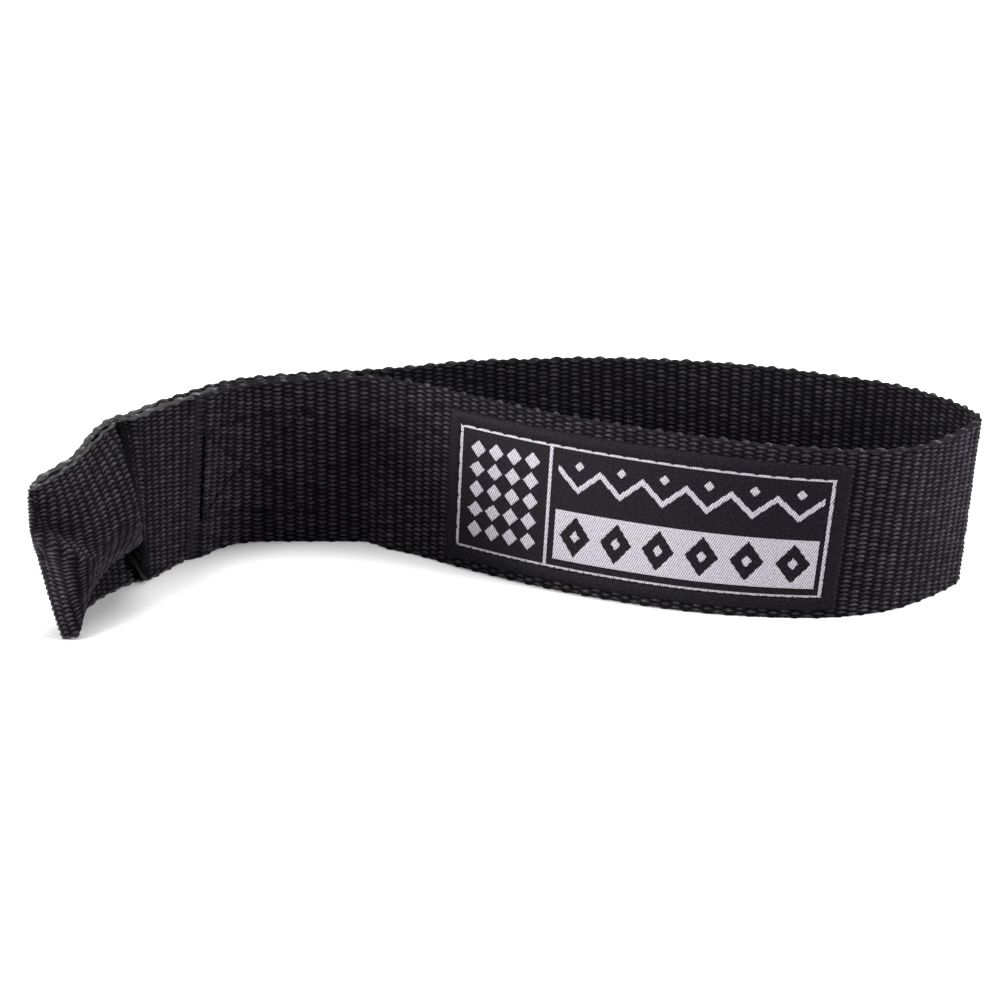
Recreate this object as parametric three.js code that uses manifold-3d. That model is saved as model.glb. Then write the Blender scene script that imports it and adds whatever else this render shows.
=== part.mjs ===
// Sewn webbing loop strap: one strip of webbing forms a large loop, a stitched neck and a small end
// loop. The strap stands on its lower edge, X runs along it, Y away from the label, Z up.
import * as THREE from "three";
import { mergeVertices } from "three/addons/utils/BufferGeometryUtils.js";
import Module from "manifold-3d";

// Webbing
const WEBBING_WIDTH = 38;
const WEBBING_THICKNESS = 1.7;
const LAYER_GAP = 0.3;
const LAYER_PITCH = WEBBING_THICKNESS + LAYER_GAP;

// Main loop, measured from the inner end of the neck
const LOOP_LENGTH = 128.1;
const LOOP_DEPTH = 58;
const LOOP_STEPS = 72;
const WIDTH_STEPS = 2;

// Neck, where three layers lie together: a straight, a bend and a second straight
const NECK_INNER_LENGTH = 21;
const NECK_BEND_RADIUS = 16;
const NECK_BEND_ANGLE = THREE.MathUtils.degToRad(60);
const NECK_OUTER_LENGTH = 23;
const NECK_LEAN_ANGLE = THREE.MathUtils.degToRad(5.5);
const NECK_STEP = 3.5;
const TUCKED_END_INSET = 1;

// Fold line between the neck and the end loop, both measured from the seam row
const FRONT_END_OFFSET = 16.4;
const FOLD_OFFSET = 8.8;
const FOLD_LENGTH = 4.8;
const FOLD_CLEARANCE = 0.3;

// End loop
const END_LOOP_LENGTH = 35;
const END_LOOP_ROWS = 3;
const END_LOOP_WIDTH_STEPS = 6;

// Woven label
const LABEL_LENGTH = 89.2;
const LABEL_HEIGHT = 32.6;
const LABEL_DROP = 0.7;
const LABEL_THICKNESS = 0.4;
const LABEL_OFFSET = 21.6;
const LABEL_GAP = 0.3;
const LABEL_SEAM_INSET = 3.1;
const LABEL_STITCH_LENGTH = 3.5;

// Sewing thread
const THREAD_DIAMETER = 0.8;
const THREAD_CLEARANCE = 0.2;
const THREAD_PINCH_SHARE = 0.6;
const STITCH_LENGTH = 2.75;
const BOX_LENGTH = 31.4;
const BOX_FAR_HEIGHT = 20;
const BOX_NEAR_HEIGHT = 25;
const BOX_END_INSET = 2.4;
const SEAM_EDGE_INSET = 2;

// Plan of the free part of the main loop, from the neck's inner end round to it again. Each row
// holds x in loop lengths, y in loop depths, and the lean of the upper edge in x and y as slopes.
const LOOP_PLAN_SHARES = [
  [0.016, -0.046, 0.004, 0.03],
  [0.043, -0.112, 0.017, 0.11],
  [0.091, -0.176, 0.026, 0.135],
  [0.164, -0.302, 0.047, 0.137],
  [0.298, -0.509, 0.063, 0.14],
  [0.427, -0.66, 0.084, 0.12],
  [0.558, -0.771, 0.105, 0.08],
  [0.681, -0.821, 0.112, 0.01],
  [0.783, -0.821, 0.11, -0.04],
  [0.876, -0.752, 0.107, -0.1],
  [0.935, -0.643, 0.085, -0.12],
  [0.982, -0.522, 0.088, -0.09],
  [1, -0.448, 0.092, -0.06],
  [0.982, -0.362, 0.084, -0.01],
  [0.937, -0.246, 0.07, 0.03],
  [0.88, -0.15, 0.07, 0.05],
  [0.802, -0.062, 0.05, 0.05],
  [0.674, 0.064, 0.03, 0.04],
  [0.51, 0.157, 0.01, 0.02],
  [0.343, 0.188, 0, 0],
  [0.191, 0.153, 0, 0],
  [0.073, 0.076, 0, 0],
];

// End loop as three hoops, at the lower edge, the middle and the upper edge of the webbing. Each
// point holds the distance from the seam and the offset towards the label side in end loop
// lengths, and the height in webbing widths. The rear layer comes first, then the far fold.
const LOWER_HOOP_SHARES = [
  [0.17, -0.045, 0],
  [0.41, -0.045, 0],
  [0.7, 0.03, 0],
  [0.9, 0.098, 0],
  [1, 0.15, 0],
  [0.95, 0.176, 0.055],
  [0.76, 0.158, 0.17],
  [0.497, 0.137, 0.235],
  [0.255, 0.108, 0.247],
  [0.083, 0.074, 0.215],
];
const MIDDLE_HOOP_SHARES = [
  [0.143, -0.08, 0.5],
  [0.415, -0.108, 0.5],
  [0.686, -0.108, 0.48],
  [0.89, -0.074, 0.46],
  [1, 0, 0.46],
  [0.95, 0.12, 0.45],
  [0.715, 0.19, 0.48],
  [0.47, 0.195, 0.52],
  [0.243, 0.143, 0.54],
  [0.09, 0.063, 0.53],
];
const UPPER_HOOP_SHARES = [
  [0.1, -0.1, 0.99],
  [0.3, -0.115, 0.92],
  [0.5, -0.112, 0.835],
  [0.857, -0.112, 0.822],
  [0.995, -0.083, 0.8],
  [0.886, -0.052, 0.81],
  [0.614, -0.043, 0.83],
  [0.357, -0.05, 0.89],
  [0.157, -0.043, 0.975],
  [0.069, -0.011, 0.995],
];

const wasm = await Module();
wasm.setup();

const WEBBING_FINISH = { color: 0x141416, roughness: 0.82, metalness: 0 };
const THREAD_FINISH = { color: 0x0d0d0f, roughness: 0.55, metalness: 0 };
const LABEL_FINISH = { color: 0x1b1a20, roughness: 0.6, metalness: 0 };

// The neck's middle layer as one curve of plan places. Distance runs from the inner end, where
// the neck meets the main loop, outwards to the seam row of the end loop.
const NECK_BEND_LENGTH = NECK_BEND_RADIUS * NECK_BEND_ANGLE;
const NECK_LENGTH = NECK_INNER_LENGTH + NECK_BEND_LENGTH + NECK_OUTER_LENGTH;

function neckPlace(distance) {
  const inBend = THREE.MathUtils.clamp(distance - NECK_INNER_LENGTH, 0, NECK_BEND_LENGTH);
  const angle = inBend / NECK_BEND_RADIUS;
  const straight = Math.min(distance, NECK_INNER_LENGTH);
  const beyond = Math.max(distance - NECK_INNER_LENGTH - NECK_BEND_LENGTH, 0);
  const outward = new THREE.Vector3(-Math.cos(angle), -Math.sin(angle), 0);
  const rearward = new THREE.Vector3(-Math.sin(angle), Math.cos(angle), 0);
  const foot = new THREE.Vector3(
    -straight - NECK_BEND_RADIUS * Math.sin(angle),
    -NECK_BEND_RADIUS * (1 - Math.cos(angle)),
    0,
  ).addScaledVector(outward, beyond);
  const leanPhase = THREE.MathUtils.clamp(distance / (NECK_LENGTH - FRONT_END_OFFSET), 0, 1);
  const lean = Math.tan(NECK_LEAN_ANGLE) * Math.sin(Math.PI * leanPhase) ** 2;
  return { foot, outward, rearward, lean };
}

// A place on the stitched neck: distance from its inner end, height share, offset to the rear.
function neckPoint(distance, heightShare, offset) {
  const place = neckPlace(distance);
  const ruling = new THREE.Vector3(0, 0, 1).addScaledVector(place.rearward, -place.lean).normalize();
  return place.foot
    .clone()
    .addScaledVector(ruling, WEBBING_WIDTH * heightShare)
    .addScaledVector(place.rearward, offset);
}

function neckDistances(from, to) {
  const steps = Math.max(1, Math.round(Math.abs(to - from) / NECK_STEP));
  return Array.from({ length: steps + 1 }, (_, i) => THREE.MathUtils.lerp(from, to, i / steps));
}

// One row of webbing: its places across the width and the side that the first face looks to.
function neckRow(distance, offset, widthSteps, facesRear) {
  const side = neckPlace(distance).rearward.multiplyScalar(facesRear ? 1 : -1);
  const points = [];
  for (let j = 0; j <= widthSteps; j += 1) {
    points.push(neckPoint(distance, j / widthSteps, offset));
  }
  return { points, sides: points.map(() => side.clone()) };
}

// Closed solid of a sheet whose middle surface is a list of rows.
function sheetGeometry(rows, thickness) {
  const across = rows[0].points.length;
  const positions = [];
  for (const faceSign of [1, -1]) {
    for (const row of rows) {
      row.points.forEach((point, j) => {
        positions.push(...point.clone().addScaledVector(row.sides[j], (faceSign * thickness) / 2).toArray());
      });
    }
  }
  const count = rows.length * across;
  const near = (i, j) => i * across + j;
  const far = (i, j) => count + i * across + j;
  const indices = [];
  const quad = (a, b, c, d) => indices.push(a, b, c, a, c, d);
  for (let i = 0; i < rows.length - 1; i += 1) {
    for (let j = 0; j < across - 1; j += 1) {
      quad(near(i, j), near(i, j + 1), near(i + 1, j + 1), near(i + 1, j));
      quad(far(i, j), far(i + 1, j), far(i + 1, j + 1), far(i, j + 1));
    }
    quad(near(i, 0), near(i + 1, 0), far(i + 1, 0), far(i, 0));
    quad(near(i, across - 1), far(i, across - 1), far(i + 1, across - 1), near(i + 1, across - 1));
  }
  const last = rows.length - 1;
  for (let j = 0; j < across - 1; j += 1) {
    quad(near(0, j), far(0, j), far(0, j + 1), near(0, j + 1));
    quad(near(last, j), near(last, j + 1), far(last, j + 1), far(last, j));
  }
  const geometry = new THREE.BufferGeometry();
  geometry.setAttribute("position", new THREE.Float32BufferAttribute(positions, 3));
  geometry.setIndex(indices);
  return outwardFacing(geometry);
}

// Turns the faces over if the solid's volume comes out negative.
function outwardFacing(geometry) {
  const position = geometry.getAttribute("position");
  const index = geometry.getIndex();
  const [a, b, c] = [new THREE.Vector3(), new THREE.Vector3(), new THREE.Vector3()];
  let volume = 0;
  for (let i = 0; i < index.count; i += 3) {
    a.fromBufferAttribute(position, index.getX(i));
    b.fromBufferAttribute(position, index.getX(i + 1));
    c.fromBufferAttribute(position, index.getX(i + 2));
    volume += a.dot(b.cross(c));
  }
  if (volume < 0) {
    for (let i = 0; i < index.count; i += 3) {
      const first = index.getX(i);
      index.setX(i, index.getX(i + 1));
      index.setX(i + 1, first);
    }
  }
  return geometry;
}

// Free part of the main loop. Two more neck places at each end give the curve its end directions.
function loopRows() {
  const controls = [];
  const leans = [];
  const addNeck = (distance, offset) => {
    const place = neckPlace(distance);
    controls.push(neckPoint(distance, 0, offset));
    leans.push(place.rearward.multiplyScalar(-place.lean));
  };
  addNeck(NECK_STEP, -LAYER_PITCH);
  addNeck(0, -LAYER_PITCH);
  for (const [x, y, leanX, leanY] of LOOP_PLAN_SHARES) {
    controls.push(new THREE.Vector3(x * LOOP_LENGTH, y * LOOP_DEPTH, 0));
    leans.push(new THREE.Vector3(leanX, leanY, 0));
  }
  addNeck(0, LAYER_PITCH);
  addNeck(NECK_STEP, LAYER_PITCH);
  const footCurve = new THREE.CatmullRomCurve3(controls, false, "centripetal");
  const leanCurve = new THREE.CatmullRomCurve3(leans, false, "centripetal");
  const first = 1 / (controls.length - 1);
  const rows = [];
  for (let i = 1; i < LOOP_STEPS; i += 1) {
    const t = THREE.MathUtils.clamp(footCurve.getUtoTmapping(i / LOOP_STEPS), 0, 1);
    if (t <= first || t >= 1 - first) {
      continue;
    }
    const foot = footCurve.getPoint(t);
    const along = footCurve.getTangent(t);
    const inward = new THREE.Vector3(-along.y, along.x, 0).normalize();
    const ruling = leanCurve.getPoint(t).setZ(1).normalize();
    const points = [];
    for (let j = 0; j <= WIDTH_STEPS; j += 1) {
      points.push(foot.clone().addScaledVector(ruling, (WEBBING_WIDTH * j) / WIDTH_STEPS));
    }
    rows.push({ points, sides: points.map(() => inward.clone()) });
  }
  return rows;
}

const FRONT_END_DISTANCE = NECK_LENGTH - FRONT_END_OFFSET;
const FOLD_DISTANCE = NECK_LENGTH - FOLD_OFFSET;
const STRAP_END_DISTANCE = FOLD_DISTANCE - FOLD_LENGTH / 2;
const END_LOOP_START_DISTANCE = FOLD_DISTANCE + FOLD_LENGTH / 2;

function strapRows() {
  const front = neckDistances(FRONT_END_DISTANCE, 0).map((d) => neckRow(d, -LAYER_PITCH, WIDTH_STEPS, true));
  const rear = neckDistances(0, STRAP_END_DISTANCE).map((d) => neckRow(d, LAYER_PITCH, WIDTH_STEPS, false));
  return [...front, ...loopRows(), ...rear];
}

function tuckedRows() {
  return neckDistances(STRAP_END_DISTANCE, TUCKED_END_INSET).map((d) => neckRow(d, 0, WIDTH_STEPS, true));
}

function foldRows(offset) {
  const from = STRAP_END_DISTANCE + FOLD_CLEARANCE;
  const to = END_LOOP_START_DISTANCE - FOLD_CLEARANCE;
  return [from, FOLD_DISTANCE, to].map((d) => neckRow(d, offset, WIDTH_STEPS, true));
}

// The end loop's rows: out along the rear layer, round the far fold and back along the front one.
function hoopCurve(shares, heightShare) {
  const seam = neckPlace(NECK_LENGTH);
  const middle = seam.foot.clone().addScaledVector(seam.rearward, LAYER_PITCH / 2);
  const place = ([along, side, height]) =>
    middle
      .clone()
      .addScaledVector(seam.outward, along * END_LOOP_LENGTH)
      .addScaledVector(seam.rearward, -side * END_LOOP_LENGTH)
      .setZ(height * WEBBING_WIDTH);
  const controls = [
    neckPoint(NECK_LENGTH - NECK_STEP, heightShare, LAYER_PITCH),
    neckPoint(NECK_LENGTH, heightShare, LAYER_PITCH),
    ...shares.map(place),
    neckPoint(NECK_LENGTH, heightShare, 0),
    neckPoint(NECK_LENGTH - NECK_STEP, heightShare, 0),
  ];
  return new THREE.CatmullRomCurve3(controls, false, "centripetal");
}

function endLoopRows() {
  const hoops = [
    hoopCurve(LOWER_HOOP_SHARES, 0),
    hoopCurve(MIDDLE_HOOP_SHARES, 0.5),
    hoopCurve(UPPER_HOOP_SHARES, 1),
  ];
  const steps = END_LOOP_WIDTH_STEPS;
  const segments = LOWER_HOOP_SHARES.length + 3;
  const grid = [];
  for (let i = END_LOOP_ROWS; i <= (segments - 1) * END_LOOP_ROWS; i += 1) {
    const t = i / (segments * END_LOOP_ROWS);
    const across = new THREE.CatmullRomCurve3(hoops.map((hoop) => hoop.getPoint(t)));
    const points = Array.from({ length: steps + 1 }, (_, j) => across.getPoint(j / steps));
    grid.push(points.map((point) => point.setZ(Math.max(point.z, 0))));
  }
  const body = grid.map((points, i) => ({ points, sides: points.map((_, j) => gridSide(grid, i, j)) }));
  const outward = neckDistances(END_LOOP_START_DISTANCE, NECK_LENGTH).slice(0, -1);
  const rear = outward.map((d) => neckRow(d, LAYER_PITCH, steps, false));
  const front = outward.toReversed().map((d) => neckRow(d, 0, steps, true));
  return [...rear, ...body, ...front];
}

// The side a grid point faces, level along the lower edge, which stands flat.
function gridSide(grid, i, j) {
  const clampRow = (k) => THREE.MathUtils.clamp(k, 0, grid.length - 1);
  const clampColumn = (k) => THREE.MathUtils.clamp(k, 0, grid[0].length - 1);
  const along = grid[clampRow(i + 1)][j].clone().sub(grid[clampRow(i - 1)][j]);
  const up = grid[i][clampColumn(j + 1)].clone().sub(grid[i][clampColumn(j - 1)]);
  const side = up.cross(along);
  return (j === 0 ? side.setZ(0) : side).normalize();
}

// A place on the main strap: distance from its front cut end, height share, offset inwards.
function strapPoint(rows, distance, heightShare, offset) {
  let walked = 0;
  for (let i = 0; i < rows.length - 1; i += 1) {
    const from = rows[i];
    const to = rows[i + 1];
    const step = from.points[0].distanceTo(to.points[0]);
    if (walked + step >= distance || i === rows.length - 2) {
      const share = (distance - walked) / step;
      const at = (row) => {
        const top = row.points[row.points.length - 1];
        return row.points[0].clone().lerp(top, heightShare).addScaledVector(row.sides[0], offset);
      };
      return at(from).lerp(at(to), share);
    }
    walked += step;
  }
  return null;
}

function rowDistances(rows) {
  const distances = [0];
  for (let i = 1; i < rows.length; i += 1) {
    distances.push(distances[i - 1] + rows[i - 1].points[0].distanceTo(rows[i].points[0]));
  }
  return distances;
}

// Woven label on the outer face of the front run, with a row wherever the strap has one.
function labelGeometry(rows, start) {
  const end = start + LABEL_LENGTH;
  const between = rowDistances(rows).filter((d) => d > start && d < end);
  const offset = -(WEBBING_THICKNESS / 2 + LABEL_GAP + LABEL_THICKNESS / 2);
  const middle = WEBBING_WIDTH / 2 - LABEL_DROP;
  const heights = [middle - LABEL_HEIGHT / 2, middle, middle + LABEL_HEIGHT / 2];
  const shares = heights.map((height) => height / WEBBING_WIDTH);
  const labelRows = [start, ...between, end].map((distance) => {
    const points = shares.map((share) => strapPoint(rows, distance, share, offset));
    const outer = strapPoint(rows, distance, shares[1], offset + LABEL_THICKNESS);
    const side = outer.sub(points[1]).normalize();
    return { points, sides: points.map(() => side.clone()) };
  });
  return sheetGeometry(labelRows, LABEL_THICKNESS);
}

// A run of stitches along a path: full at the middle of each stitch, pinched where it dips in.
function stitchGeometry(pathAt, length, stitchLength, closed) {
  const stitches = Math.max(2, Math.round(length / stitchLength));
  const stations = stitches * 2;
  const radius = THREAD_DIAMETER / 2;
  const ringCount = closed ? stations : stations + 1;
  const positions = [];
  for (let i = 0; i < ringCount; i += 1) {
    const { point, along, side } = pathAt((i / stations) * length);
    const across = along.clone().cross(side).normalize();
    const size = i % 2 === 1 ? radius : radius * THREAD_PINCH_SHARE;
    const corners = [
      [across, size],
      [side, size],
      [across, -size],
      [side, -size],
    ];
    for (const [direction, reach] of corners) {
      positions.push(...point.clone().addScaledVector(direction, reach).toArray());
    }
  }
  const sides = 4;
  const indices = [];
  const spans = closed ? ringCount : ringCount - 1;
  for (let i = 0; i < spans; i += 1) {
    const next = (i + 1) % ringCount;
    for (let k = 0; k < sides; k += 1) {
      const l = (k + 1) % sides;
      indices.push(i * sides + k, next * sides + k, next * sides + l);
      indices.push(i * sides + k, next * sides + l, i * sides + l);
    }
  }
  if (!closed) {
    const last = (ringCount - 1) * sides;
    indices.push(0, 1, 2, 0, 2, 3);
    indices.push(last, last + 2, last + 1, last, last + 3, last + 2);
  }
  const geometry = new THREE.BufferGeometry();
  geometry.setAttribute("position", new THREE.Float32BufferAttribute(positions, 3));
  geometry.setIndex(indices);
  return outwardFacing(geometry);
}

// A path over a curved face, straight in the face's own length and height from corner to corner.
function facePath(faceAt, corners) {
  const lengths = [0];
  for (let i = 1; i < corners.length; i += 1) {
    const [from, to] = [corners[i - 1], corners[i]];
    lengths.push(lengths[i - 1] + Math.hypot(to[0] - from[0], to[1] - from[1]));
  }
  const total = lengths[lengths.length - 1];
  const flatAt = (walked) => {
    const bounded = THREE.MathUtils.clamp(walked, 0, total);
    let i = 1;
    while (i < corners.length - 1 && lengths[i] < bounded) {
      i += 1;
    }
    const share = (bounded - lengths[i - 1]) / (lengths[i] - lengths[i - 1]);
    return corners[i].map((value, k) => THREE.MathUtils.lerp(corners[i - 1][k], value, share));
  };
  const radius = THREAD_DIAMETER / 2;
  const pathAt = (walked) => {
    const [distance, height] = flatAt(walked);
    const point = faceAt(distance, height, radius);
    const side = faceAt(distance, height, THREAD_DIAMETER).sub(point).normalize();
    const before = faceAt(...flatAt(walked - radius), radius);
    const after = faceAt(...flatAt(walked + radius), radius);
    return { point, side, along: after.sub(before).normalize() };
  };
  return { pathAt, total };
}

function toSolid(geometry) {
  const bare = new THREE.BufferGeometry();
  bare.setAttribute("position", geometry.getAttribute("position").clone());
  bare.setIndex(geometry.getIndex().clone());
  const merged = mergeVertices(bare);
  const vertProperties = new Float32Array(merged.getAttribute("position").array);
  const triVerts = new Uint32Array(merged.getIndex().array);
  return new wasm.Manifold(new wasm.Mesh({ numProp: 3, vertProperties, triVerts }));
}

function fromSolid(solid) {
  const mesh = solid.getMesh();
  const geometry = new THREE.BufferGeometry();
  geometry.setAttribute("position", new THREE.BufferAttribute(new Float32Array(mesh.vertProperties), 3));
  geometry.setIndex(new THREE.BufferAttribute(new Uint32Array(mesh.triVerts), 1));
  return geometry;
}

// Box and cross seam on one outer face of the neck: four sides and two diagonals made one.
function boxSeamGeometry(rearSide) {
  const reach = LAYER_PITCH + WEBBING_THICKNESS / 2 + THREAD_CLEARANCE;
  const sign = rearSide ? 1 : -1;
  const faceAt = (distance, height, lift) =>
    neckPoint(distance, height / WEBBING_WIDTH, sign * (reach + lift));
  const far = FRONT_END_DISTANCE - BOX_END_INSET;
  const near = far - BOX_LENGTH;
  const [farLow, farHigh] = [-1, 1].map((side) => (WEBBING_WIDTH + side * BOX_FAR_HEIGHT) / 2);
  const [nearLow, nearHigh] = [-1, 1].map((side) => (WEBBING_WIDTH + side * BOX_NEAR_HEIGHT) / 2);
  const runs = [
    [[far, farLow], [near, nearLow]],
    [[near, nearLow], [near, nearHigh]],
    [[near, nearHigh], [far, farHigh]],
    [[far, farHigh], [far, farLow]],
    [[far, farLow], [near, nearHigh]],
    [[near, nearLow], [far, farHigh]],
  ];
  let solid = null;
  for (const corners of runs) {
    const { pathAt, total } = facePath(faceAt, corners);
    const run = toSolid(stitchGeometry(pathAt, total, STITCH_LENGTH, false));
    solid = solid ? solid.add(run) : run;
  }
  return fromSolid(solid);
}

function endSeamGeometry(rearSide) {
  const reach = WEBBING_THICKNESS / 2 + THREAD_CLEARANCE;
  const faceAt = (distance, height, lift) =>
    neckPoint(distance, height / WEBBING_WIDTH, rearSide ? LAYER_PITCH + reach + lift : -reach - lift);
  const corners = [
    [NECK_LENGTH - THREAD_DIAMETER, SEAM_EDGE_INSET],
    [NECK_LENGTH - THREAD_DIAMETER, WEBBING_WIDTH - SEAM_EDGE_INSET],
  ];
  const { pathAt, total } = facePath(faceAt, corners);
  return stitchGeometry(pathAt, total, STITCH_LENGTH, false);
}

// Label seam, on the label's face or on the strap's inner face behind it.
function labelSeamGeometry(rows, start, innerSide) {
  const half = WEBBING_THICKNESS / 2;
  const reach = innerSide ? half + THREAD_CLEARANCE : half + LABEL_GAP + LABEL_THICKNESS + THREAD_CLEARANCE;
  const sign = innerSide ? 1 : -1;
  const faceAt = (distance, height, lift) =>
    strapPoint(rows, distance, height / WEBBING_WIDTH, sign * (reach + lift));
  const low = (WEBBING_WIDTH - LABEL_HEIGHT) / 2 - LABEL_DROP + LABEL_SEAM_INSET;
  const high = low + LABEL_HEIGHT - 2 * LABEL_SEAM_INSET;
  const from = start + LABEL_SEAM_INSET;
  const to = start + LABEL_LENGTH - LABEL_SEAM_INSET;
  const corners = [[from, low], [to, low], [to, high], [from, high], [from, low]];
  const { pathAt, total } = facePath(faceAt, corners);
  return stitchGeometry(pathAt, total, LABEL_STITCH_LENGTH, true);
}

function makeMesh(name, geometry, finish) {
  const mesh = new THREE.Mesh(geometry, new THREE.MeshStandardMaterial(finish));
  mesh.name = name;
  return mesh;
}

const strap = strapRows();
const labelStart = FRONT_END_DISTANCE + LABEL_OFFSET;
const model = new THREE.Group();
model.add(
  makeMesh("loop_strap", sheetGeometry(strap, WEBBING_THICKNESS), WEBBING_FINISH),
  makeMesh("tucked_end", sheetGeometry(tuckedRows(), WEBBING_THICKNESS), WEBBING_FINISH),
  makeMesh("neck_fold_front", sheetGeometry(foldRows(0), WEBBING_THICKNESS), WEBBING_FINISH),
  makeMesh("neck_fold_rear", sheetGeometry(foldRows(LAYER_PITCH), WEBBING_THICKNESS), WEBBING_FINISH),
  makeMesh("end_loop", sheetGeometry(endLoopRows(), WEBBING_THICKNESS), WEBBING_FINISH),
  makeMesh("woven_label", labelGeometry(strap, labelStart), LABEL_FINISH),
  makeMesh("box_needle_thread", boxSeamGeometry(false), THREAD_FINISH),
  makeMesh("box_bobbin_thread", boxSeamGeometry(true), THREAD_FINISH),
  makeMesh("end_seam_needle_thread", endSeamGeometry(false), THREAD_FINISH),
  makeMesh("end_seam_bobbin_thread", endSeamGeometry(true), THREAD_FINISH),
  makeMesh("label_needle_thread", labelSeamGeometry(strap, labelStart, false), THREAD_FINISH),
  makeMesh("label_bobbin_thread", labelSeamGeometry(strap, labelStart, true), THREAD_FINISH),
);

// The origin is the middle of the box round the strap, on the surface that it stands on.
const bounds = new THREE.Box3().setFromObject(model);
const centre = bounds.getCenter(new THREE.Vector3());
model.position.set(-centre.x, -centre.y, -bounds.min.z);

export default model;
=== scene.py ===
"""Looks of a sewn webbing loop strap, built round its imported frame.

One unbroken strip of webbing is woven rib by rib along the strap's route: the front run, the far
bend, the back run, the rear layer of the neck, the small end loop and the end tucked between the
neck's outer layers. Sewing thread and a woven label are laid on it. Sizes are in millimetres and
are turned into metres where a mesh is made.
"""

import logging
import math
from dataclasses import dataclass, field
from enum import Enum

import bpy
import numpy as np
from mathutils import Euler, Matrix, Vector


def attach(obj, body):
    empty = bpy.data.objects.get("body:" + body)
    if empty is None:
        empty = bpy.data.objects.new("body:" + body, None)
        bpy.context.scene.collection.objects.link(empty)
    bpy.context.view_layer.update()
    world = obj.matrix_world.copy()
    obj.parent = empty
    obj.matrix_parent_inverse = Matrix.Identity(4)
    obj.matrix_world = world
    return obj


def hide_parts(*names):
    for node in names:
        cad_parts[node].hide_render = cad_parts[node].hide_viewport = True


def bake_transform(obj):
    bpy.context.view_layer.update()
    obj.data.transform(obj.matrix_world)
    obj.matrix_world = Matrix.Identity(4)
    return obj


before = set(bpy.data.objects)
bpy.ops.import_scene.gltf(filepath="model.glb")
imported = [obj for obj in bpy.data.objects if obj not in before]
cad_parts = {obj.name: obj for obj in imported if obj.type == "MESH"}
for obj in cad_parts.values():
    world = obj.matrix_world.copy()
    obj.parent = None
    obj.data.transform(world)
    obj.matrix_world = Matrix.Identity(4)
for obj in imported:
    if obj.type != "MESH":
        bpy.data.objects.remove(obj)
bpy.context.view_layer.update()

METRES = 0.001
LOG = logging.getLogger("strap")

Colour = tuple[float, float, float, float]
Place = tuple[float, float, float]
Socket = bpy.types.NodeSocket

# Plan of the free part of the main loop, from the neck's inner end round to it again. Each row
# holds x in loop lengths, y in loop depths, and the lean of the upper edge in x and y as slopes.
LOOP_PLAN_SHARES = [
    [0.016, -0.046, 0.004, 0.03],
    [0.043, -0.112, 0.017, 0.11],
    [0.091, -0.176, 0.026, 0.135],
    [0.164, -0.302, 0.047, 0.137],
    [0.298, -0.509, 0.063, 0.14],
    [0.427, -0.66, 0.084, 0.12],
    [0.558, -0.771, 0.105, 0.08],
    [0.681, -0.821, 0.112, 0.01],
    [0.783, -0.821, 0.11, -0.04],
    [0.876, -0.752, 0.107, -0.1],
    [0.935, -0.643, 0.085, -0.12],
    [0.982, -0.522, 0.088, -0.09],
    [1, -0.448, 0.092, -0.06],
    [0.982, -0.362, 0.084, -0.01],
    [0.937, -0.246, 0.07, 0.03],
    [0.88, -0.15, 0.07, 0.05],
    [0.802, -0.062, 0.05, 0.05],
    [0.674, 0.064, 0.03, 0.04],
    [0.51, 0.157, 0.01, 0.02],
    [0.343, 0.188, 0, 0],
    [0.191, 0.153, 0, 0],
    [0.073, 0.076, 0, 0],
]

# End loop as three hoops. Each point holds the distance from the seam and the offset towards the
# label side in end loop lengths, and the height in webbing widths.
LOWER_HOOP_SHARES = [
    [0.17, -0.045, 0],
    [0.41, -0.045, 0],
    [0.7, 0.03, 0],
    [0.92, 0.105, 0],
    [1, 0.165, 0],
    [0.975, 0.24, 0.035],
    [0.8, 0.178, 0.195],
    [0.5, 0.137, 0.275],
    [0.255, 0.108, 0.295],
    [0.083, 0.07, 0.28],
]
MIDDLE_HOOP_SHARES = [
    [0.143, -0.08, 0.5],
    [0.415, -0.108, 0.5],
    [0.686, -0.108, 0.48],
    [0.905, -0.074, 0.46],
    [1.037, 0, 0.46],
    [0.97, 0.12, 0.45],
    [0.715, 0.19, 0.48],
    [0.47, 0.195, 0.52],
    [0.243, 0.143, 0.54],
    [0.09, 0.063, 0.53],
]
UPPER_HOOP_SHARES = [
    [0.1, -0.086, 1],
    [0.3, -0.098, 0.965],
    [0.5, -0.096, 0.885],
    [0.857, -0.1, 0.862],
    [0.985, -0.08, 0.828],
    [0.886, -0.052, 0.842],
    [0.614, -0.043, 0.87],
    [0.357, -0.05, 0.93],
    [0.157, -0.043, 0.985],
    [0.069, -0.011, 0.998],
]

# Height of the yarns over one rib, as shares of the weave's relief. The rows go from one rib's
# border across it in quarters, and the columns from a slit over one yarn in quarters.
YARN_RISE_SHARES = [
    [0.42, 0.16, 0.42, 0.16],
    [0, 0.5, 0.88, 0.5],
    [0.12, 0.8, 1, 0.8],
    [0, 0.5, 0.88, 0.5],
]

# How far a yarn bows along the rib at each quarter of it, as shares of the weave's bow.
BOW_SHARES = [-1.0, 0.3, 1.0, 0.3]

# Places of a thread's points along one stitch, closer together beside its needle holes.
STITCH_SHARES = [0.0, 0.035, 0.09, 0.18, 0.34, 0.5, 0.66, 0.82, 0.91, 0.965]


class Face(Enum):
    """The two faces of the strip: outwards from the loops, or into them."""

    OUTER = 1
    INNER = -1


class NeckLayer(Enum):
    """The neck's layers: number of its part of the strip, offset in pitches, and rows laid."""

    FRONT = (0, -1, 200)
    REAR = (2, 1, 260)
    TUCKED = (4, 0, 260)


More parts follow.
